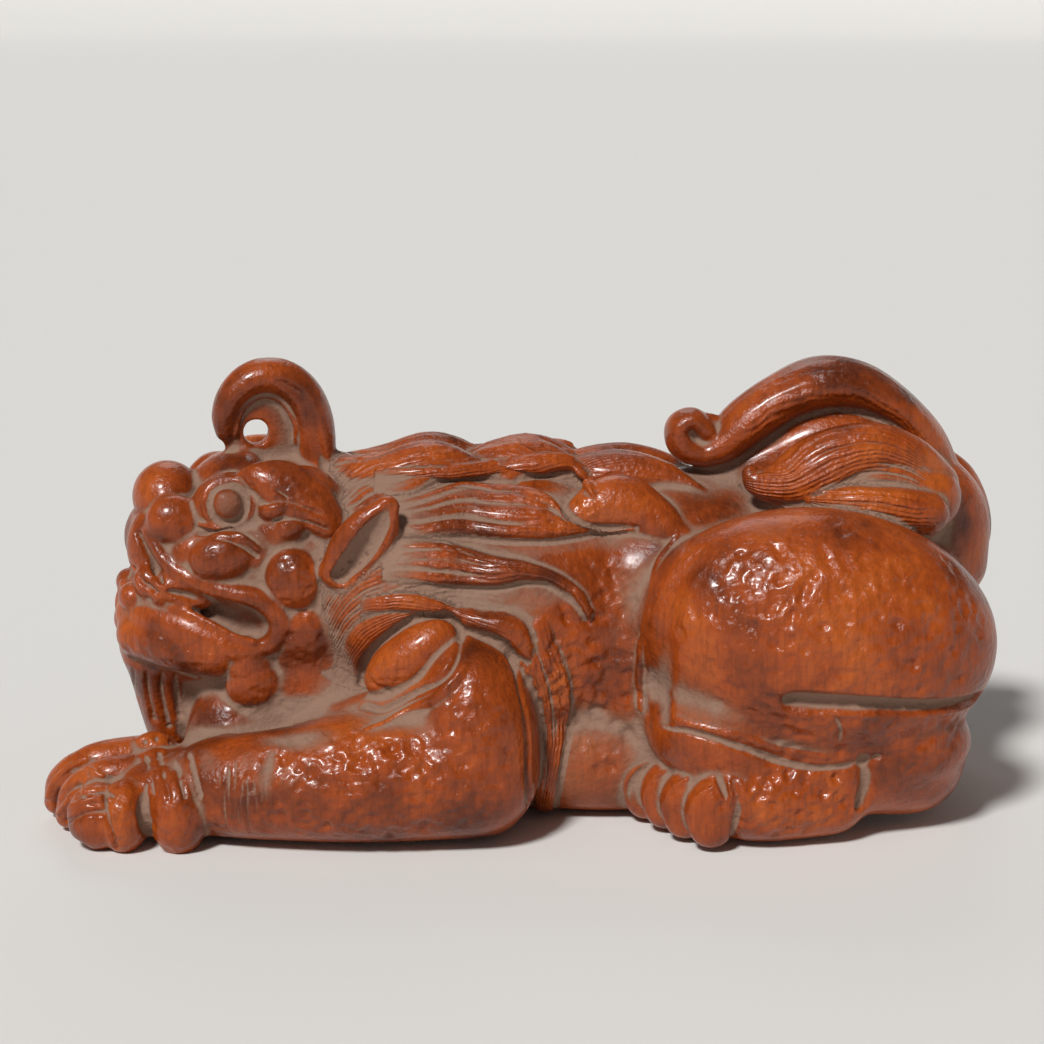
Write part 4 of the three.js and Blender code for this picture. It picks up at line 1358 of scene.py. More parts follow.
@dataclass
class Mane:
    """The cap of hair over the neck, with locks that stream back over the flanks and the spine."""

    combed_top: Lock = Lock(
        Region.MANE,
        ((-17.0, 0.0), (-10.0, 0.0), (-2.0, 0.0), (6.0, 0.0), (15.0, 0.0)),
        ((-17.0, 10.0), (-10.0, 10.5), (-2.0, 9.0), (3.0, 5.0), (15.0, 4.4)),
        (0.0, 0.0), Hair(11, 0.12, 0.6), 22, 0.0, start=1.0, root_dust=1.0, tip=2.5,
    )
    combed_side: Lock = Lock(
        Region.MANE,
        ((-17.5, 26.0), (-15.0, 29.4), (-11.5, 31.2), (-7.0, 32.0), (-2.0, 32.0), (1.5, 30.6)),
        ((-16.0, 13.2), (-14.2, 16.4), (-11.5, 18.4), (-8.0, 19.6), (-4.0, 19.6), (-1.0, 19.0)),
        (0.0, 0.0), Hair(13, 0.14, 0.7), 30, 0.0, start=1.0, root_dust=0.9, tip=2.0,
    )
    hump: tuple[Row, ...] = (
        (3.6, 7.6, 25.4, 0.8, 0.8), (6.0, 6.8, 26.6, 2.0, 1.8), (8.4, 6.4, 27.0, 2.5, 2.0),
        (10.8, 6.9, 25.9, 2.1, 1.7), (12.9, 7.8, 24.5, 1.4, 1.2), (15.2, 8.6, 24.0, 0.5, 0.5),
    )
    flank: tuple[Lock, ...] = (
        Lock(Region.MANE,
             ((-15.5, 14.6), (-14.3, 17.2), (-12.4, 18.8), (-10.0, 19.6), (-7.9, 19.4), (-5.9, 18.6), (-4.2, 17.2)),
             ((-14.3, 12.7), (-13.3, 14.9), (-11.6, 16.9), (-9.9, 18.2), (-7.9, 18.5), (-6.2, 18.0), (-5.0, 17.0)),
             (0.1, 0.35, 0.4, 0.4, 0.35, 0.2), Hair(4, 0.2, 0.6), 8, 0.0, root_dust=1.3, tip=3.0),
        Lock(Region.MANE,
             ((-13.2, 20.2), (-11.6, 20.6), (-9.4, 20.9), (-7.2, 20.4), (-5.0, 19.5), (-2.8, 19.2), (-0.9, 19.0),
              (0.4, 18.2), (1.0, 16.9)),
             ((-13.4, 18.6), (-12.0, 19.0), (-10.3, 19.2), (-7.9, 19.0), (-5.9, 18.4), (-4.2, 17.5), (-2.4, 16.7),
              (-0.9, 15.8), (0.5, 15.0)),
             (0.1, 0.5, 0.7, 0.8, 1.2, 1.5, 1.3, 0.6), Hair(3, 0.16, 0.6), 6, root_dust=1.6, tip=1.8),
        Lock(Region.MANE,
             ((-11.5, 25.1), (-9.0, 24.9), (-6.8, 24.7), (-4.6, 24.0), (-2.4, 23.4), (0, 23.0), (2.2, 22.3),
              (4.0, 21.3), (5.1, 20.2), (5.9, 18.6)),
             ((-11.5, 21.6), (-8.8, 21.5), (-6.8, 21.2), (-4.2, 21.0), (-2, 21.1), (0.2, 21.5), (1.8, 21.4),
              (3.2, 20.7), (4.3, 19.8), (5.3, 18.3)),
             (0.0, 0.5, 0.9, 1.1, 1.3, 1.2, 1.0, 0.9, 0.7), Hair(4, 0.42, 0.9), 7, root_dust=1.7, tip=1.8),
        Lock(Region.MANE,
             ((-11.0, 27.8), (-8.8, 28.0), (-5.9, 28.5), (-2.8, 28.3), (0, 28.1), (2.0, 27.5), (3.4, 26.4),
              (4.8, 25.6), (6.4, 25.3), (9.6, 25.3)),
             ((-11.0, 25.2), (-8.5, 25.0), (-5.9, 24.9), (-2.8, 24.6), (0.5, 24.5), (2.6, 24.5), (3.8, 24.6),
              (5.2, 24.7), (6.6, 24.9), (9.5, 25.1)),
             (0.0, 0.5, 0.9, 1.1, 1.3, 1.2, 1.0, 0.8, 0.4), Hair(4, 0.45, 0.9), 8, root_dust=1.7, tip=1.8),
        Lock(Region.MANE,
             ((-12.5, 29.4), (-10.2, 29.8), (-7.7, 30.0), (-5.1, 29.9), (-2.4, 29.9), (0.5, 30.4), (2.9, 30.5),
              (5.1, 29.6), (6.2, 28.4)),
             ((-12.5, 27.9), (-9.7, 27.9), (-7.3, 28.5), (-4.6, 28.7), (-1.5, 28.5), (1.6, 28.8), (3.8, 29.1),
              (4.9, 28.4), (5.9, 27.7)),
             (0.0, 0.5, 0.8, 0.9, 0.9, 0.8, 0.4), Hair(3, 0.2, 0.6), 6, root_dust=1.6, tip=1.8),
    )
    spine: tuple[tuple[tuple[Row, ...], Row, Row], ...] = (
        (((-15.5, 2.6), (-12, 2.8), (-8, 2.6), (-4.5, 2.8), (-1.5, 3.6)), (1.6, 2.4, 2.6, 1.8, 0.3),
         (0.4, 1.3, 2.3, 1.6, 0.2)),
        (((-5.5, 1.0), (-2.5, 1.0), (1.0, 1.2), (4.5, 2.0), (8.0, 3.0)), (1.2, 2.2, 2.4, 1.6, 0.3),
         (0.4, 1.8, 2.4, 1.4, 0.2)),
        (((2.5, 1.6), (5.5, 1.6), (9, 1.8), (12.2, 2.6), (15.4, 4.2)), (1.0, 2.2, 2.4, 1.6, 0.3),
         (0.4, 2.2, 2.6, 1.4, 0.2)),
    )
    dents: tuple[Dents, ...] = (
        ((4.2, 26.6), (2.6, 1.2), 40, (0.25, 0.45), 0.16), ((-1.0, 16.6), (1.6, 1.6), 20, (0.25, 0.5), 0.12),
    )
    dust: tuple[Dust, ...] = (
        ((-12.5, 26), (5.5, 7.0), 0.8), ((-9.0, 20.5), (5.0, 3.0), 0.75), ((1.0, 20.0), (3.6, 1.4), 0.9),
        ((-2.5, 20.4), (5.5, 1.0), 0.85), ((3.6, 27.2), (2.6, 1.6), 0.9), ((-14.5, 21.0), (3.6, 7.0), 0.95),
    )

    def rough(self, clay: Clay) -> None:
        """Lays down the cap."""
        clay.mass(Region.MANE, (-9.6, -0.4, 19.4), (11.8, 12.4, 10.3))

    def detail(self, clay: Clay, sight: Sight) -> None:
        """Lays the thick locks of the spine on the roughed-out block.

        Args:
            clay: Where the forms are laid down.
            sight: Sight of the roughed-out block.
        """
        for side in Side:
            for places, widths, heights in self.spine:
                spots = [sight.spot(ABOVE, x, y * side.value) for x, y in places]
                lay_lock(clay, Region.MANE, spots, widths, heights, Hair(6, 0.3))
            rows = [(x, y * side.value, z, wide, tall) for x, y, z, wide, tall in self.hump]
            clay.limb(Region.MANE, rows, (0, 0.8 * side.value, 0.6))

    def carve(self, carver: Carver) -> None:
        """Raises the locks of the flanks.

        Args:
            carver: The carver who works on the skin.
        """
        for side in Side:
            view = beside(side)
            carver.lock(View((1, 0, 0), (0, side.value, 0), (0, 0, 1)), self.combed_top)
            carver.lock(view, self.combed_side)
            for lock in self.flank:
                carver.lock(view, lock)

    def wear(self, carver: Carver) -> None:
        """Lays the dust between the locks and behind the head.

        Args:
            carver: The carver who works on the skin.
        """
        for side in Side:
            view = beside(side)
            carver.wear(view, self.dents, self.dust)


CREST_FLUTES = Lock(
    Region.TAIL_CREST,
    ((18.4, 34.9), (20.2, 35.9), (22.4, 37.0), (26.0, 37.8), (29.1, 37.2), (31.9, 35.4), (33.8, 33.1), (35.6, 30.0)),
    ((17.8, 30.0), (19.4, 30.4), (21.0, 31.9), (23.6, 32.9), (26.7, 33.4), (29.0, 33.2), (31.9, 32.2), (34.6, 29.4)),
    (0.0, 0.0), Hair(3, 0.12, 0.5), 6, 0.0, tip=3.0,
)


@dataclass
class Tail:
    """The tail's root on the rump and the flame-like locks that sweep forward from it."""

    flutes: tuple[tuple[Side, Lock], ...] = (
        (Side.LEFT, CREST_FLUTES),
        (Side.LEFT, Lock(
            Region.TAIL_LEFT_UPPER,
            ((18.6, 29.8), (20.6, 30.5), (22.1, 31.0), (23.8, 32.7), (25.8, 33.7), (28.7, 33.9), (31.6, 33.0),
             (33.6, 31.5), (35.6, 29.0)),
            ((18.6, 27.6), (20.4, 26.7), (22.6, 26.3), (24.3, 26.5), (26.0, 27.6), (28.7, 29.0), (31.4, 29.0),
             (33.4, 28.4), (34.8, 27.6)),
            (0.0, 0.0), Hair(6, 0.34, 0.3), 13, 0.0, start=1.0)),
        (Side.LEFT, Lock(
            Region.TAIL_LEFT_LOWER,
            ((24.0, 28.2), (25.8, 28.8), (28.4, 29.1), (31.7, 28.9), (35.2, 28.2)),
            ((24.3, 26.6), (27.4, 25.8), (29.6, 25.3), (31.8, 24.8), (35.2, 24.4)),
            (0.0, 0.0), Hair(5, 0.3, 0.3), 10, 0.0, start=1.0)),
        (Side.LEFT, Lock(
            Region.TAIL_REAR,
            ((38.0, 29.4), (40.6, 26.8), (42.6, 22.6), (42.8, 16.6)),
            ((36.0, 26.4), (37.2, 24.0), (38.2, 20.0), (39.6, 16.4)),
            (0.0, 0.0), Hair(3, 0.25, 0.3), 8, 0.0, start=1.0)),
        (Side.RIGHT, Lock(
            Region.TAIL_RIGHT_UPPER,
            ((19.0, 27.6), (22.0, 29.6), (25.0, 30.4), (29.0, 31.2), (33.0, 31.0), (37.6, 28.6)),
            ((19.4, 25.4), (22.0, 25.0), (25.0, 25.0), (29.0, 25.4), (33.0, 24.6), (36.0, 22.8)),
            (0.0, 0.0), Hair(6, 0.34, 0.3), 14, 0.0, start=1.0)),
        (Side.RIGHT, CREST_FLUTES),
    )
    dust: tuple[Dust, ...] = (
        ((19.5, 27.0), (5.0, 1.8), 0.8), ((16.0, 28.6), (5.5, 2.8), 1.1), ((21.4, 31.6), (2.2, 1.2), 0.9),
        ((30.0, 29.1), (5.0, 0.7), 0.9), ((36.4, 27.0), (1.6, 6.0), 0.9),
    )

    def rough(self, clay: Clay) -> None:
        """Lays down the root and the core that the locks lie on.

        Args:
            clay: Where the forms are laid down.
        """
        clay.limb(Region.TAIL_ROOT, [(37.6, 2, 20, 3.8), (36.6, 2, 24.5, 4.4), (32, 1.5, 28, 4.2)])
        clay.limb(
            Region.TAIL_CREST, [(34, 1.5, 29.5, 3.2), (27, 1, 31, 3.4), (21, 0.4, 29, 2.6), (17, 0.2, 27.4, 2.2)]
        )
        clay.limb(Region.TAIL_LEFT_UPPER, [(34.5, -4, 27.0, 3.2), (29, -4.6, 28.2, 3.2), (23, -4.6, 27.0, 2.2)])
        clay.limb(Region.TAIL_RIGHT_UPPER, [(34.5, 6, 25.6, 3.0), (29, 6.0, 26.4, 3.0), (23, 5.6, 25.6, 2.0)])

    def detail(self, clay: Clay) -> None:
        """Lays down the locks, each as x, y, z, half width and half height.

        Args:
            clay: Where the forms are laid down.
        """
        crest = [
            (36.6, 2.6, 28.0, 3.0, 2.0), (35.2, 2.4, 31.0, 3.4, 1.9), (32.4, 2.0, 33.9, 3.8, 1.9),
            (29.2, 1.6, 35.7, 3.9, 2.2), (25.8, 1.0, 36.1, 3.8, 2.3), (22.4, 0.4, 34.9, 3.4, 2.1),
            (19.4, -0.2, 32.9, 3.1, 2.1), (17.3, -0.7, 31.1, 2.7, 1.7), (15.4, -1.0, 30.4, 2.3, 1.3),
            (13.8, -1.2, 31.1, 2.2, 1.3), (13.5, -1.3, 32.6, 2.1, 1.2), (14.7, -1.4, 33.3, 1.9, 1.0),
            (15.9, -1.5, 32.2, 1.6, 0.9),
        ]
        centre = np.array([(c[0], c[2]) for c in crest])
        ahead = unit(np.gradient(centre, axis=0))
        ups = [(float(a[1]), 0.0, float(-a[0])) for a in ahead]
        clay.limb(Region.TAIL_CREST, crest, ups, Hair(5, 0.1))
        clay.mass(Region.TAIL_CREST, (15.8, -0.9, 31.9), (2.2, 1.2, 1.9))
        clay.limb(
            Region.TAIL_LEFT_UPPER,
            [(35.4, -3.0, 28.4, 1.6, 2.2), (33.2, -4.0, 30.2, 1.9, 2.3), (30.6, -4.8, 31.2, 2.2, 2.4),
             (27.9, -5.3, 31.1, 2.5, 2.4), (25.4, -5.6, 30.1, 2.8, 2.3), (23.2, -5.8, 29.0, 2.5, 2.0),
             (21.3, -5.8, 28.5, 1.8, 1.6), (19.8, -5.7, 28.7, 1.2, 1.1), (19.3, -5.6, 29.4, 0.8, 0.7)],
            (0, -1, 0.5),
        )
        clay.limb(
            Region.TAIL_LEFT_LOWER,
            [(34.0, -7.2, 26.2, 1.8, 2.0), (31.8, -7.8, 26.7, 1.8, 2.0), (29.2, -8.0, 27.1, 1.6, 1.8),
             (27.0, -7.9, 27.4, 1.3, 1.4), (24.4, -7.4, 27.4, 0.5, 0.7)],
            (0, -1, 0.6),
        )
        clay.limb(
            Region.TAIL_RIGHT_UPPER,
            [(36.0, 6.6, 25.6, 2.4, 2.4), (31, 7.8, 28.6, 2.5, 2.5), (25, 7.8, 27.6, 2.1, 2.0),
             (20, 7.2, 26.6, 0.9, 0.8)],
            (0, 1, 0.6),
        )
        clay.limb(
            Region.TAIL_REAR,
            [(37.2, 7.4, 27.8, 2.0, 1.6), (39.6, 8.2, 25.4, 2.4, 1.7), (41.0, 8.6, 21.6, 2.4, 1.6),
             (41.4, 8.2, 17.6, 0.9, 0.7)],
            (0.6, -0.7, 0.2), Hair(3, 0.25),
        )

    def comb(self, carver: Carver) -> None:
        """Combs flutes into the locks."""
        for side, lock in self.flutes:
            carver.lock(beside(side), lock)

    def carve(self, carver: Carver) -> None:
        """Lays the dust between the locks.

        Args:
            carver: The carver who works on the skin.
        """
        for side in Side:
            view = beside(side)
            carver.wear(view, (), self.dust)


@dataclass(frozen=True)
class Pattern:
    """A pattern in the wood: its patches to the millimetre, its finer layers and their strength."""

    per_mm: float
    layers: float = 2
    strength: float = 0.5


@dataclass(frozen=True)
class Boxwood:
    """Boxwood that has been waxed and handled: close, even grain, glossy where hands rub and dusty in the cuts."""

    polished: str = "#9A4210"
    deep: str = "#5E2509"
    bright: str = "#B5581C"
    pores: str = "#8C8C8C"  # how much a fibre darkens the wood
    dust_thin: str = "#6C412C"
    dust: str = "#7E5B49"
    dust_thick: str = "#8E7160"
    shine: float = 0.28
    wax: float = 0.34
    wax_roughness: float = 0.17
    rubbed: float = 0.36  # roughness of clean wood under its wax
    matt: float = 0.88  # roughness of thick dust
    fibre_show: float = 0.4
    clouds: Pattern = Pattern(0.12, 4, 0.6)  # patches about 8 mm wide, lighter and darker
    fibres: Pattern = Pattern(2.4, 3, 0.65)  # upright pores, coarser than the real 0.05 mm so that they show
    grit: Pattern = Pattern(5.0, 3, 0.7)  # dust grains of about 0.2 mm
    dents: Pattern = Pattern(1.1)  # wear marks of about 1 mm
    pebbles: Pattern = Pattern(2.6)  # tool marks of about 0.4 mm
    wander: Pattern = Pattern(0.35)  # bends the strands of hair over about 3 mm
    upright: Row = (1.0, 1.0, 0.14)  # draws the fibres out along the height of the block
    tones: Row = (0.34, 0.52, 0.72)  # where the cloudy pattern is deep, polished and bright
    pore_tones: Row = (0.3, 0.55)  # where the fibres are dark and clear
    dust_tones: Row = (0.2, 0.55, 1.0)  # where the dust is thin, plain and thick
    dull: Row = (0.8, 0.6)  # how dusty wood is wholly matt, and has no wax left
    dusting: Row = (0.12, 1.05)  # from the first film of dust to full cover
    cover: float = 0.95  # how much of the wood the thickest dust hides
    clean: float = 0.45  # how much is taken off, so that plain wood stays clean
    shares: Row = (0.2, 0.4, 0.3, 0.22, -0.28)  # what grit, clouds, pebbles, grooves and strands add to the dust
    # Strength and depth in millimetres of the strands, dents, pebbles, fibres and grit.
    reliefs: tuple[Row, ...] = ((0.6, 0.16), (0.7, 0.2), (0.8, 0.11), (0.3, 0.05), (0.25, 0.03))
    sway: float = 1.8  # how many strands the wandering moves them by
    # From and to where, and the least that counts: wear on the strands, their ridges, and the grooves between them.
    strand_ranges: tuple[Row, ...] = ((0.36, 0.56, 0.35), (-0.2, 0.7, 0.0), (0.1, -0.8, 0.0))

    def dress(self) -> bpy.types.Material:
        """Builds the material.

        Returns:
            The material.
        """
        material = bpy.data.materials.new("boxwood")
        material.use_nodes = True
        tree = material.node_tree
        add = partial(add_node, tree)
        shader = tree.nodes["Principled BSDF"]
        shader.inputs["Specular IOR Level"].default_value = self.shine
        shader.inputs["Coat Roughness"].default_value = self.wax_roughness
        place = add("ShaderNodeTexCoord", output="Object")
        upright = add("ShaderNodeMapping", {"Vector": place, "Scale": self.upright})
        hollow, strand, hair = (
            add("ShaderNodeAttribute", output="Fac", attribute_name=name) for name in ("hollow", "strand", "hair")
        )
        clouds, fibres, grit, dents, pebbles, wander = (
            add(
                "ShaderNodeTexNoise",
                {"Vector": where, "Scale": kind.per_mm / MM, "Detail": kind.layers, "Roughness": kind.strength},
            )
            for where, kind in (
                (place, self.clouds), (upright, self.fibres), (place, self.grit), (place, self.dents),
                (place, self.pebbles), (place, self.wander),
            )
        )
        stops = tuple(zip(self.tones, (self.deep, self.polished, self.bright)))
        tone = add("ShaderNodeValToRGB", {"Fac": clouds}, stops=stops)
        stops = tuple(zip(self.pore_tones, (self.pores, "#FFFFFF")))
        fibre_tone = add("ShaderNodeValToRGB", {"Fac": fibres}, stops=stops)
        wood = add(
            "ShaderNodeMix", {"Factor": self.fibre_show, "A": tone, "B": fibre_tone},
            data_type="RGBA", blend_type="MULTIPLY",
        )

        shifted = add("ShaderNodeMath", {0: wander, 1: self.sway, 2: strand}, operation="MULTIPLY_ADD")
        turned = add("ShaderNodeMath", {0: shifted, 1: math.pi * 2}, operation="MULTIPLY")
        wave = add("ShaderNodeMath", {0: turned}, operation="SINE")
        worn, ridge, valley = (
            add(
                "ShaderNodeMapRange", {"Value": source, "From Min": low, "From Max": high, "To Min": least},
                interpolation_type="SMOOTHSTEP",
            )
            for source, (low, high, least) in zip((dents, wave, wave), self.strand_ranges)
        )
        combed = add("ShaderNodeMath", {0: hair, 1: worn}, operation="MULTIPLY")
        line, groove = (
            add("ShaderNodeMath", {0: part, 1: combed}, operation="MULTIPLY") for part in (ridge, valley)
        )

        settled = hollow
        for source, share in zip((grit, clouds, pebbles, groove, line), self.shares):
            settled = add("ShaderNodeMath", {0: source, 1: share, 2: settled}, operation="MULTIPLY_ADD")
        settled = add("ShaderNodeMath", {0: settled, 1: self.clean}, operation="SUBTRACT")
        dusty = add(
            "ShaderNodeMapRange",
            {"Value": settled, "From Min": self.dusting[0], "From Max": self.dusting[1], "To Max": self.cover},
            interpolation_type="SMOOTHSTEP",
        )
        gloss, wax = (
            add(
                "ShaderNodeMapRange", {"Value": dusty, "From Max": full, "To Min": clean, "To Max": dulled},
                interpolation_type="SMOOTHSTEP",
            )
            for full, clean, dulled in zip(self.dull, (self.rubbed, self.wax), (self.matt, 0.0))
        )
        stops = tuple(zip(self.dust_tones, (self.dust_thin, self.dust, self.dust_thick)))
        dust_tone = add("ShaderNodeValToRGB", {"Fac": settled}, stops=stops)
        colour = add("ShaderNodeMix", {"Factor": dusty, "A": wood, "B": dust_tone}, data_type="RGBA")

        raised = add("ShaderNodeMath", {0: wave, 1: 0.5, 2: 0.5}, operation="MULTIPLY_ADD")
        height = add("ShaderNodeMath", {0: raised, 1: combed}, operation="MULTIPLY")
        bump = None
        for source, (strength, depth) in zip((height, dents, pebbles, fibres, grit), self.reliefs):
            below = {"Normal": bump} if bump else {}
            bump = add("ShaderNodeBump", {"Strength": strength, "Distance": depth * MM, "Height": source, **below})
        for socket, value in (("Base Color", colour), ("Roughness", gloss), ("Coat Weight", wax), ("Normal", bump)):
            tree.links.new(value, shader.inputs[socket])
        return material


def linear(colour: str) -> tuple[float, float, float, float]:
    """A colour's linear values from its sRGB hex.

    Args:
        colour: The colour, as #RRGGBB.

    Returns:
        Red, green, blue and opacity.
    """
    parts = [int(colour[i : i + 2], 16) / 255 for i in (1, 3, 5)]
    r, g, b = (p / 12.92 if p <= 0.04045 else ((p + 0.055) / 1.055) ** 2.4 for p in parts)
    return r, g, b, 1.0


def add_node(
    tree: bpy.types.NodeTree,
    kind: str,
    inputs: dict[str | int, object] | None = None,
    output: str = "",
    stops: Sequence[tuple[float, str]] = (),
    **settings: object,
) -> bpy.types.NodeSocket:
    """Adds a node with its settings and links.

    Args:
        tree: The node tree.
        kind: The node's type.
        inputs: Input name or number, to its value or to the output that feeds it.
        output: Which output is wanted, if it isn't the first.
        stops: Places and sRGB hex colours of a colour ramp.
        settings: Properties of the node itself.

    Returns:
        The output.
    """
    node = tree.nodes.new(kind)
    for name, value in settings.items():
        setattr(node, name, value)
    live = [s for s in node.inputs if s.enabled]
    for key, value in (inputs or {}).items():
        socket = live[key] if isinstance(key, int) else next(s for s in live if s.name == key)
        if isinstance(value, bpy.types.NodeSocket):
            tree.links.new(value, socket)
        else:
            socket.default_value = value
    while stops and len(node.color_ramp.elements) < len(stops):
        node.color_ramp.elements.new(0.5)
    for i, (place, colour) in enumerate(stops):
        node.color_ramp.elements[i].position = place
        node.color_ramp.elements[i].color = linear(colour)
    return next(s for s in node.outputs if s.enabled and s.name in (output or s.name,))


@dataclass
class Beast:
    """The whole carving, from the roughed-out block to its finished regions."""

    trunk: Trunk = field(default_factory=Trunk)
    head: Head = field(default_factory=Head)
    jaw: Jaw = field(default_factory=Jaw)
    horn: Horn = field(default_factory=Horn)
    mane: Mane = field(default_factory=Mane)
    tail: Tail = field(default_factory=Tail)
    right_paw_drawn: float = 6.5  # how far back the right forepaw lies
    lip: float = 0.9  # how deep a piece's edge is turned into the wood
    sink: float = 3.0  # how much deeper the middle of its inner side lies

    def __post_init__(self) -> None:
        """Makes the paired parts."""
        drawn = {Side.LEFT: 0.0, Side.RIGHT: self.right_paw_drawn}
        self.ears = [Ear(side) for side in Side]
        self.haunches = [Haunch(side) for side in Side]
        self.hindpaws = [Hindpaw(side) for side in Side]
        self.forelegs = [Foreleg(side, drawn=drawn[side]) for side in Side]
        self.forepaws = [Forepaw(side, drawn=drawn[side]) for side in Side]

    def build(self) -> list[bpy.types.Object]:
        """Carves the beast and parts it into its regions.

        Returns:
            The finished pieces.
        """
        clay = Clay()
        for part in (self.trunk, self.head, self.jaw, self.mane, self.tail, *self.haunches, *self.hindpaws,
                     *self.forelegs, *self.forepaws):
            part.rough(clay)
        block = Skin(melt(clay.as_mesh("rough"), ROUGH_GRAIN))
        block.relax(BLOCK_ROUNDS)
        block.mesh.vertices.foreach_set("co", block.points.ravel())
        fine = Clay()
        for part in (self.head, self.jaw, self.horn, self.tail, *self.ears, *self.hindpaws, *self.forelegs,
                     *self.forepaws):
            part.detail(fine)
        self.mane.detail(fine, Sight(block))
        cuts = Clay()
        for part in (self.horn, *self.ears, *self.forepaws):
            part.cuts(cuts)
        labels = self._labels(clay, fine, cuts)
        self._mouth(cuts)
        fine.mesh.from_mesh(block.mesh)
        skin = Skin(melt(fine.as_mesh("forms"), GRAIN, cuts.as_mesh("cuts")))
        skin.relax(SKIN_ROUNDS)
        skin.measure()
        log.info("skin of %d points", len(skin.points))
        tree, marks = labels
        carver = Carver(skin, np.array([marks[tree.find(place)[1]] for place in skin.points.tolist()]))
        self.trunk.comb(carver)
        self.mane.carve(carver)
        self.tail.comb(carver)
        carver.settle()
        for part in (self.trunk, self.head, self.jaw, self.horn, self.tail, *self.ears, *self.haunches,
                     *self.hindpaws, *self.forelegs, *self.forepaws):
            part.carve(carver)
        self.mane.wear(carver)
        skin.relax(*LAST_SMOOTHING)
        skin.points = np.clip(skin.points, *self._room())
        return self._part(carver)

    def _room(self) -> tuple[np.ndarray, np.ndarray]:
        """The lowest and highest corner that the carving may reach, in the carver's millimetres."""
        low, high = (np.array(corner) / MM - np.array(ZERO) for corner in CAD_BOX)
        return np.array([low[0] + ROOM, low[1] + ROOM, 0.0]), high - ROOM

    def _mouth(self, cuts: Clay) -> None:
        """Lays down the opening of the mouth, cut in from both sides.

        Args:
            cuts: Where the cutting forms are laid down.
        """
        for s in (-1, 1):
            cuts.limb(
                Region.HEAD,
                [(10.8, 7.2 * s, 0.1, 0.42, 0.8), (9.8, 7.7 * s, -0.2, 0.6, 1.2), (8.5, 8.4 * s, -0.8, 0.78, 1.6),
                 (7.0, 8.9 * s, -1.5, 1.0, 1.9), (5.9, 9.2 * s, -2.0, 1.2, 2.0)],
                (0, s, 0),
            )

    def _labels(self, *clays: Clay) -> tuple[KDTree, list[int]]:
        """Gathers the forms' points, by which each place of the skin finds its region."""
        marked = [(vert.co.copy(), vert[clay.region]) for clay in clays for vert in clay.mesh.verts]
        return tree_of([point for point, _ in marked]), [mark for _, mark in marked]

    def _part(self, carver: Carver) -> list[bpy.types.Object]:
        """Parts the skin into its regions and closes each of them.

        Args:
            carver: The carver who works on the skin.

        Returns:
            The finished pieces.
        """
        skin = carver.skin
        region = self._tidy(skin, carver.region[skin.quads[:, 0]])
        skin.measure()
        reach = FULL_GRAIN / GRAIN
        hollow = sum(
            np.clip(skin.hollowness(rounds) * reach / full, *HOLLOW_RANGE) * share for rounds, full, share in HOLLOWS
        )
        values = {"hollow": hollow + carver.dust * DUST_SHARE, "strand": carver.strand, "hair": carver.hair}
        carver.press()
        normals = skin.normals()
        carved = skin.points.copy()
        skin.relax(*DEEP_SMOOTHING)
        inward = -skin.normals()
        skin.points = carved
        finish = Boxwood().dress()
        return [
            self._piece(skin, region == number, name, values, (normals, inward), finish)
            for number, name in enumerate(REGIONS)
        ]

    def _tidy(self, skin: Skin, region: np.ndarray) -> np.ndarray:
        """Gives chips of a region to the region about them.

        Args:
            skin: The skin.
            region: The region of each face.

        Returns:
            The regions, each without loose chips.
        """
        pairs = np.sort(np.stack([skin.quads, np.roll(skin.quads, -1, 1)], 2).reshape(-1, 2), axis=1)
        face = np.repeat(np.arange(len(skin.quads)), 4)
        order = np.lexsort((pairs[:, 1], pairs[:, 0]))
        first, second = face[order][0::2], face[order][1::2]
        ends = np.concatenate([first, second])
        other = np.concatenate([second, first])
        neighbours = other[np.argsort(ends, kind="stable")].reshape(-1, 4)
        for _ in range(VOTE_ROUNDS):
            around = region[neighbours]
            votes = np.stack([(around == around[:, [k]]).sum(1) for k in range(4)], 1)
            winner = around[np.arange(len(region)), votes.argmax(1)]
            region = np.where(votes.max(1) >= VOTES, winner, region)
        group = np.arange(len(region))
        for _ in range(SPREAD_ROUNDS):
            near = np.where(region[neighbours] == region[:, None], group[neighbours], group[:, None])
            lower = np.minimum(group, near.min(1))
            lower = lower[lower]
            if np.array_equal(lower, group):
                break
            group = lower
        for number in range(len(REGIONS)):
            members = np.flatnonzero(region == number)
            if not len(members):
                continue
            names, sizes = np.unique(group[members], return_counts=True)
            loose = members[group[members] != names[sizes.argmax()]]
            region[loose] = -1
        while np.any(region < 0):
            loose = np.flatnonzero(region < 0)
            around = region[neighbours[loose]].max(1)
            region[loose] = around
        return region

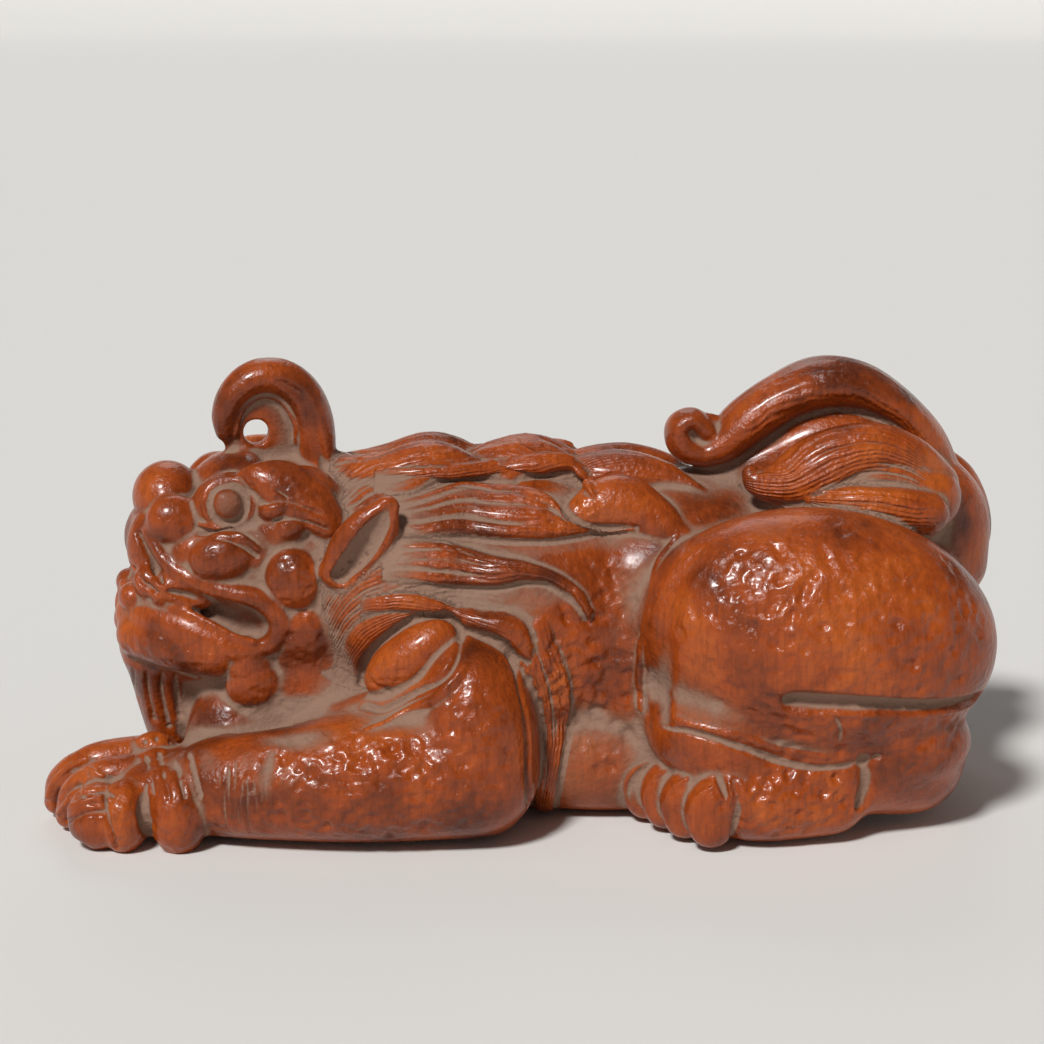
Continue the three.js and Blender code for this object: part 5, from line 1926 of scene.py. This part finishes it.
    def _piece(
        self,
        skin: Skin,
        chosen: np.ndarray,
        name: Region,
        values: dict[str, np.ndarray],
        directions: tuple[np.ndarray, np.ndarray],
        finish: bpy.types.Material,
    ) -> bpy.types.Object:
        """Makes a region's piece: its part of the skin, closed on the inside, with the whole skin's normals.

        Args:
            skin: The whole skin.
            chosen: Which faces belong to the region.
            name: The region.
            values: What is measured at each point of the skin, by name.
            directions: The outward direction at each point of the skin, and the way into the wood.
            finish: Its material.

        Returns:
            The finished piece.
        """
        used, quads = np.unique(skin.quads[chosen], return_inverse=True)
        mesh = bpy.data.meshes.new(f"{name.value}_carved")
        mesh.from_pydata(((skin.points[used] + np.array(ZERO)) * MM).tolist(), [], quads.reshape(-1, 4).tolist())
        for label, each in values.items():
            mesh.attributes.new(label, "FLOAT", "POINT").data.foreach_set("value", each[used].astype(np.float32))
        for label, each in zip(("facing", "inward"), directions):
            layer = mesh.attributes.new(label, "FLOAT_VECTOR", "POINT")
            layer.data.foreach_set("vector", each[used].ravel().astype(np.float32))
        work = bmesh.new()
        work.from_mesh(mesh)
        for vert in [v for v in work.verts if sum(e.is_boundary for e in v.link_edges) > 2]:
            bmesh.utils.vert_separate(vert, [e for e in vert.link_edges if e.is_boundary])
        rim = [e for e in work.edges if e.is_boundary]
        inward = work.verts.layers.float_vector["inward"]
        lip = bmesh.ops.extrude_edge_only(work, edges=rim)["geom"]
        for vert in [g for g in lip if isinstance(g, bmesh.types.BMVert)]:
            vert.co += vert[inward] * self.lip * MM
        rim = [g for g in lip if isinstance(g, bmesh.types.BMEdge) and g.is_boundary]
        caps = bmesh.ops.holes_fill(work, edges=rim, sides=0)["faces"]
        for centre in bmesh.ops.poke(work, faces=caps)["verts"]:
            about = [edge.other_vert(centre)[inward] for edge in centre.link_edges]
            centre.co += sum(about, Vector()) / len(about) * self.sink * MM
        open_edges = sum(not e.is_manifold for e in work.edges)
        for face in work.faces:
            face.smooth = True
        work.to_mesh(mesh)
        work.free()
        mesh.materials.append(finish)
        facing = np.empty(len(mesh.vertices) * 3, np.float32)
        mesh.attributes["facing"].data.foreach_get("vector", facing)
        mesh.normals_split_custom_set_from_vertices(facing.reshape(-1, 3).tolist())
        for label in ("facing", "inward"):
            mesh.attributes.remove(mesh.attributes[label])
        piece = bpy.data.objects.new(mesh.name, mesh)
        bpy.context.scene.collection.objects.link(piece)
        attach(piece, "root")
        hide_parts(name.value)
        log.info("%s: %d faces, %d open edges", piece.name, len(mesh.polygons), open_edges)
        return piece


@dataclass(frozen=True)
class Lamp:
    """A far lamp: which way its light goes, how many degrees of the sky it fills, and how strong it is."""

    name: str
    ahead: Row
    spread: float
    strength: float

    def build(self) -> None:
        """Hangs the lamp."""
        light = bpy.data.lights.new(self.name, "SUN")
        light.angle, light.energy = math.radians(self.spread), self.strength
        lamp = bpy.data.objects.new(self.name, light)
        lamp.rotation_euler = Vector(self.ahead).to_track_quat("-Z", "Y").to_euler()
        bpy.context.scene.collection.objects.link(lamp)


@dataclass(frozen=True)
class Studio:
    """A pale floor, soft light and the camera."""

    lens: float = 77.86
    sensor: float = 36.0
    clip: Row = (0.01, 60.0)
    camera: Row = (-1.365, -192.974, 66.7)  # in millimetres
    tilt: float = 12.5
    cove: tuple[Row, ...] = ((0.0, 0.0), (6.0, 0.0), (12.0, 0.0), (13.6, 0.2), (15.2, 0.8), (16.4, 1.8), (17.0, 3.2),
                             (17.2, 5.0))  # radius and height of the floor's outline, in metres
    cove_steps: int = 96
    paper: str = "#E0DEDA"
    paper_roughness: float = 0.9
    sky: str = "#F2F2F2"
    sky_strength: float = 0.1
    lamps: tuple[Lamp, ...] = (
        Lamp("key", (0.16, 0.30, -0.38), 10, 3.1),
        Lamp("fill", (0.62, 0.5, -0.36), 70, 0.16),
        Lamp("rim", (0.05, -0.7, -0.62), 30, 0.34),
    )

    def build(self) -> None:
        """Sets up the camera, the floor, the lamps and the sky."""
        bpy.context.scene.view_settings.view_transform = "Standard"
        self._camera()
        self._floor()
        for lamp in self.lamps:
            lamp.build()
        world = bpy.data.worlds.new("studio")
        world.use_nodes = True
        background = world.node_tree.nodes["Background"]
        background.inputs["Color"].default_value = linear(self.sky)
        background.inputs["Strength"].default_value = self.sky_strength
        bpy.context.scene.world = world

    def _camera(self) -> None:
        """Sets up the camera at the photograph's angle."""
        lens = bpy.data.cameras.new("camera")
        lens.sensor_width, lens.lens = self.sensor, self.lens
        lens.clip_start, lens.clip_end = self.clip
        eye = bpy.data.objects.new("camera", lens)
        eye.location = Vector(self.camera) * MM
        eye.rotation_euler = (math.radians(90 - self.tilt), 0, 0)
        bpy.context.scene.collection.objects.link(eye)
        bpy.context.scene.camera = eye

    def _floor(self) -> None:
        """Spins the floor, a round sheet of paper that curves up far from the carving."""
        work = bmesh.new()
        line = [work.verts.new((radius, 0, height)) for radius, height in self.cove]
        rim = [work.edges.new(pair) for pair in zip(line, line[1:])]
        bmesh.ops.spin(
            work, geom=line + rim, axis=(0, 0, 1), cent=(0, 0, 0), angle=2 * math.pi, steps=self.cove_steps,
            use_merge=True,
        )
        bmesh.ops.remove_doubles(work, verts=work.verts, dist=1e-5)
        bmesh.ops.recalc_face_normals(work, faces=work.faces)
        for face in work.faces:
            face.smooth = True
        mesh = bpy.data.meshes.new("floor")
        work.to_mesh(mesh)
        work.free()
        floor = bpy.data.objects.new("floor", mesh)
        bpy.context.scene.collection.objects.link(floor)
        paper = bpy.data.materials.new("floor_paper")
        paper.use_nodes = True
        shader = paper.node_tree.nodes["Principled BSDF"]
        shader.inputs["Base Color"].default_value = linear(self.paper)
        shader.inputs["Roughness"].default_value = self.paper_roughness
        mesh.materials.append(paper)


def main() -> None:
    """Builds the studio and the carving."""
    logging.basicConfig(level=logging.INFO, format="%(message)s")
    Studio().build()
    pieces = Beast().build()
    log.info("%d pieces", len(pieces))


if __name__ == "__main__":
    main()
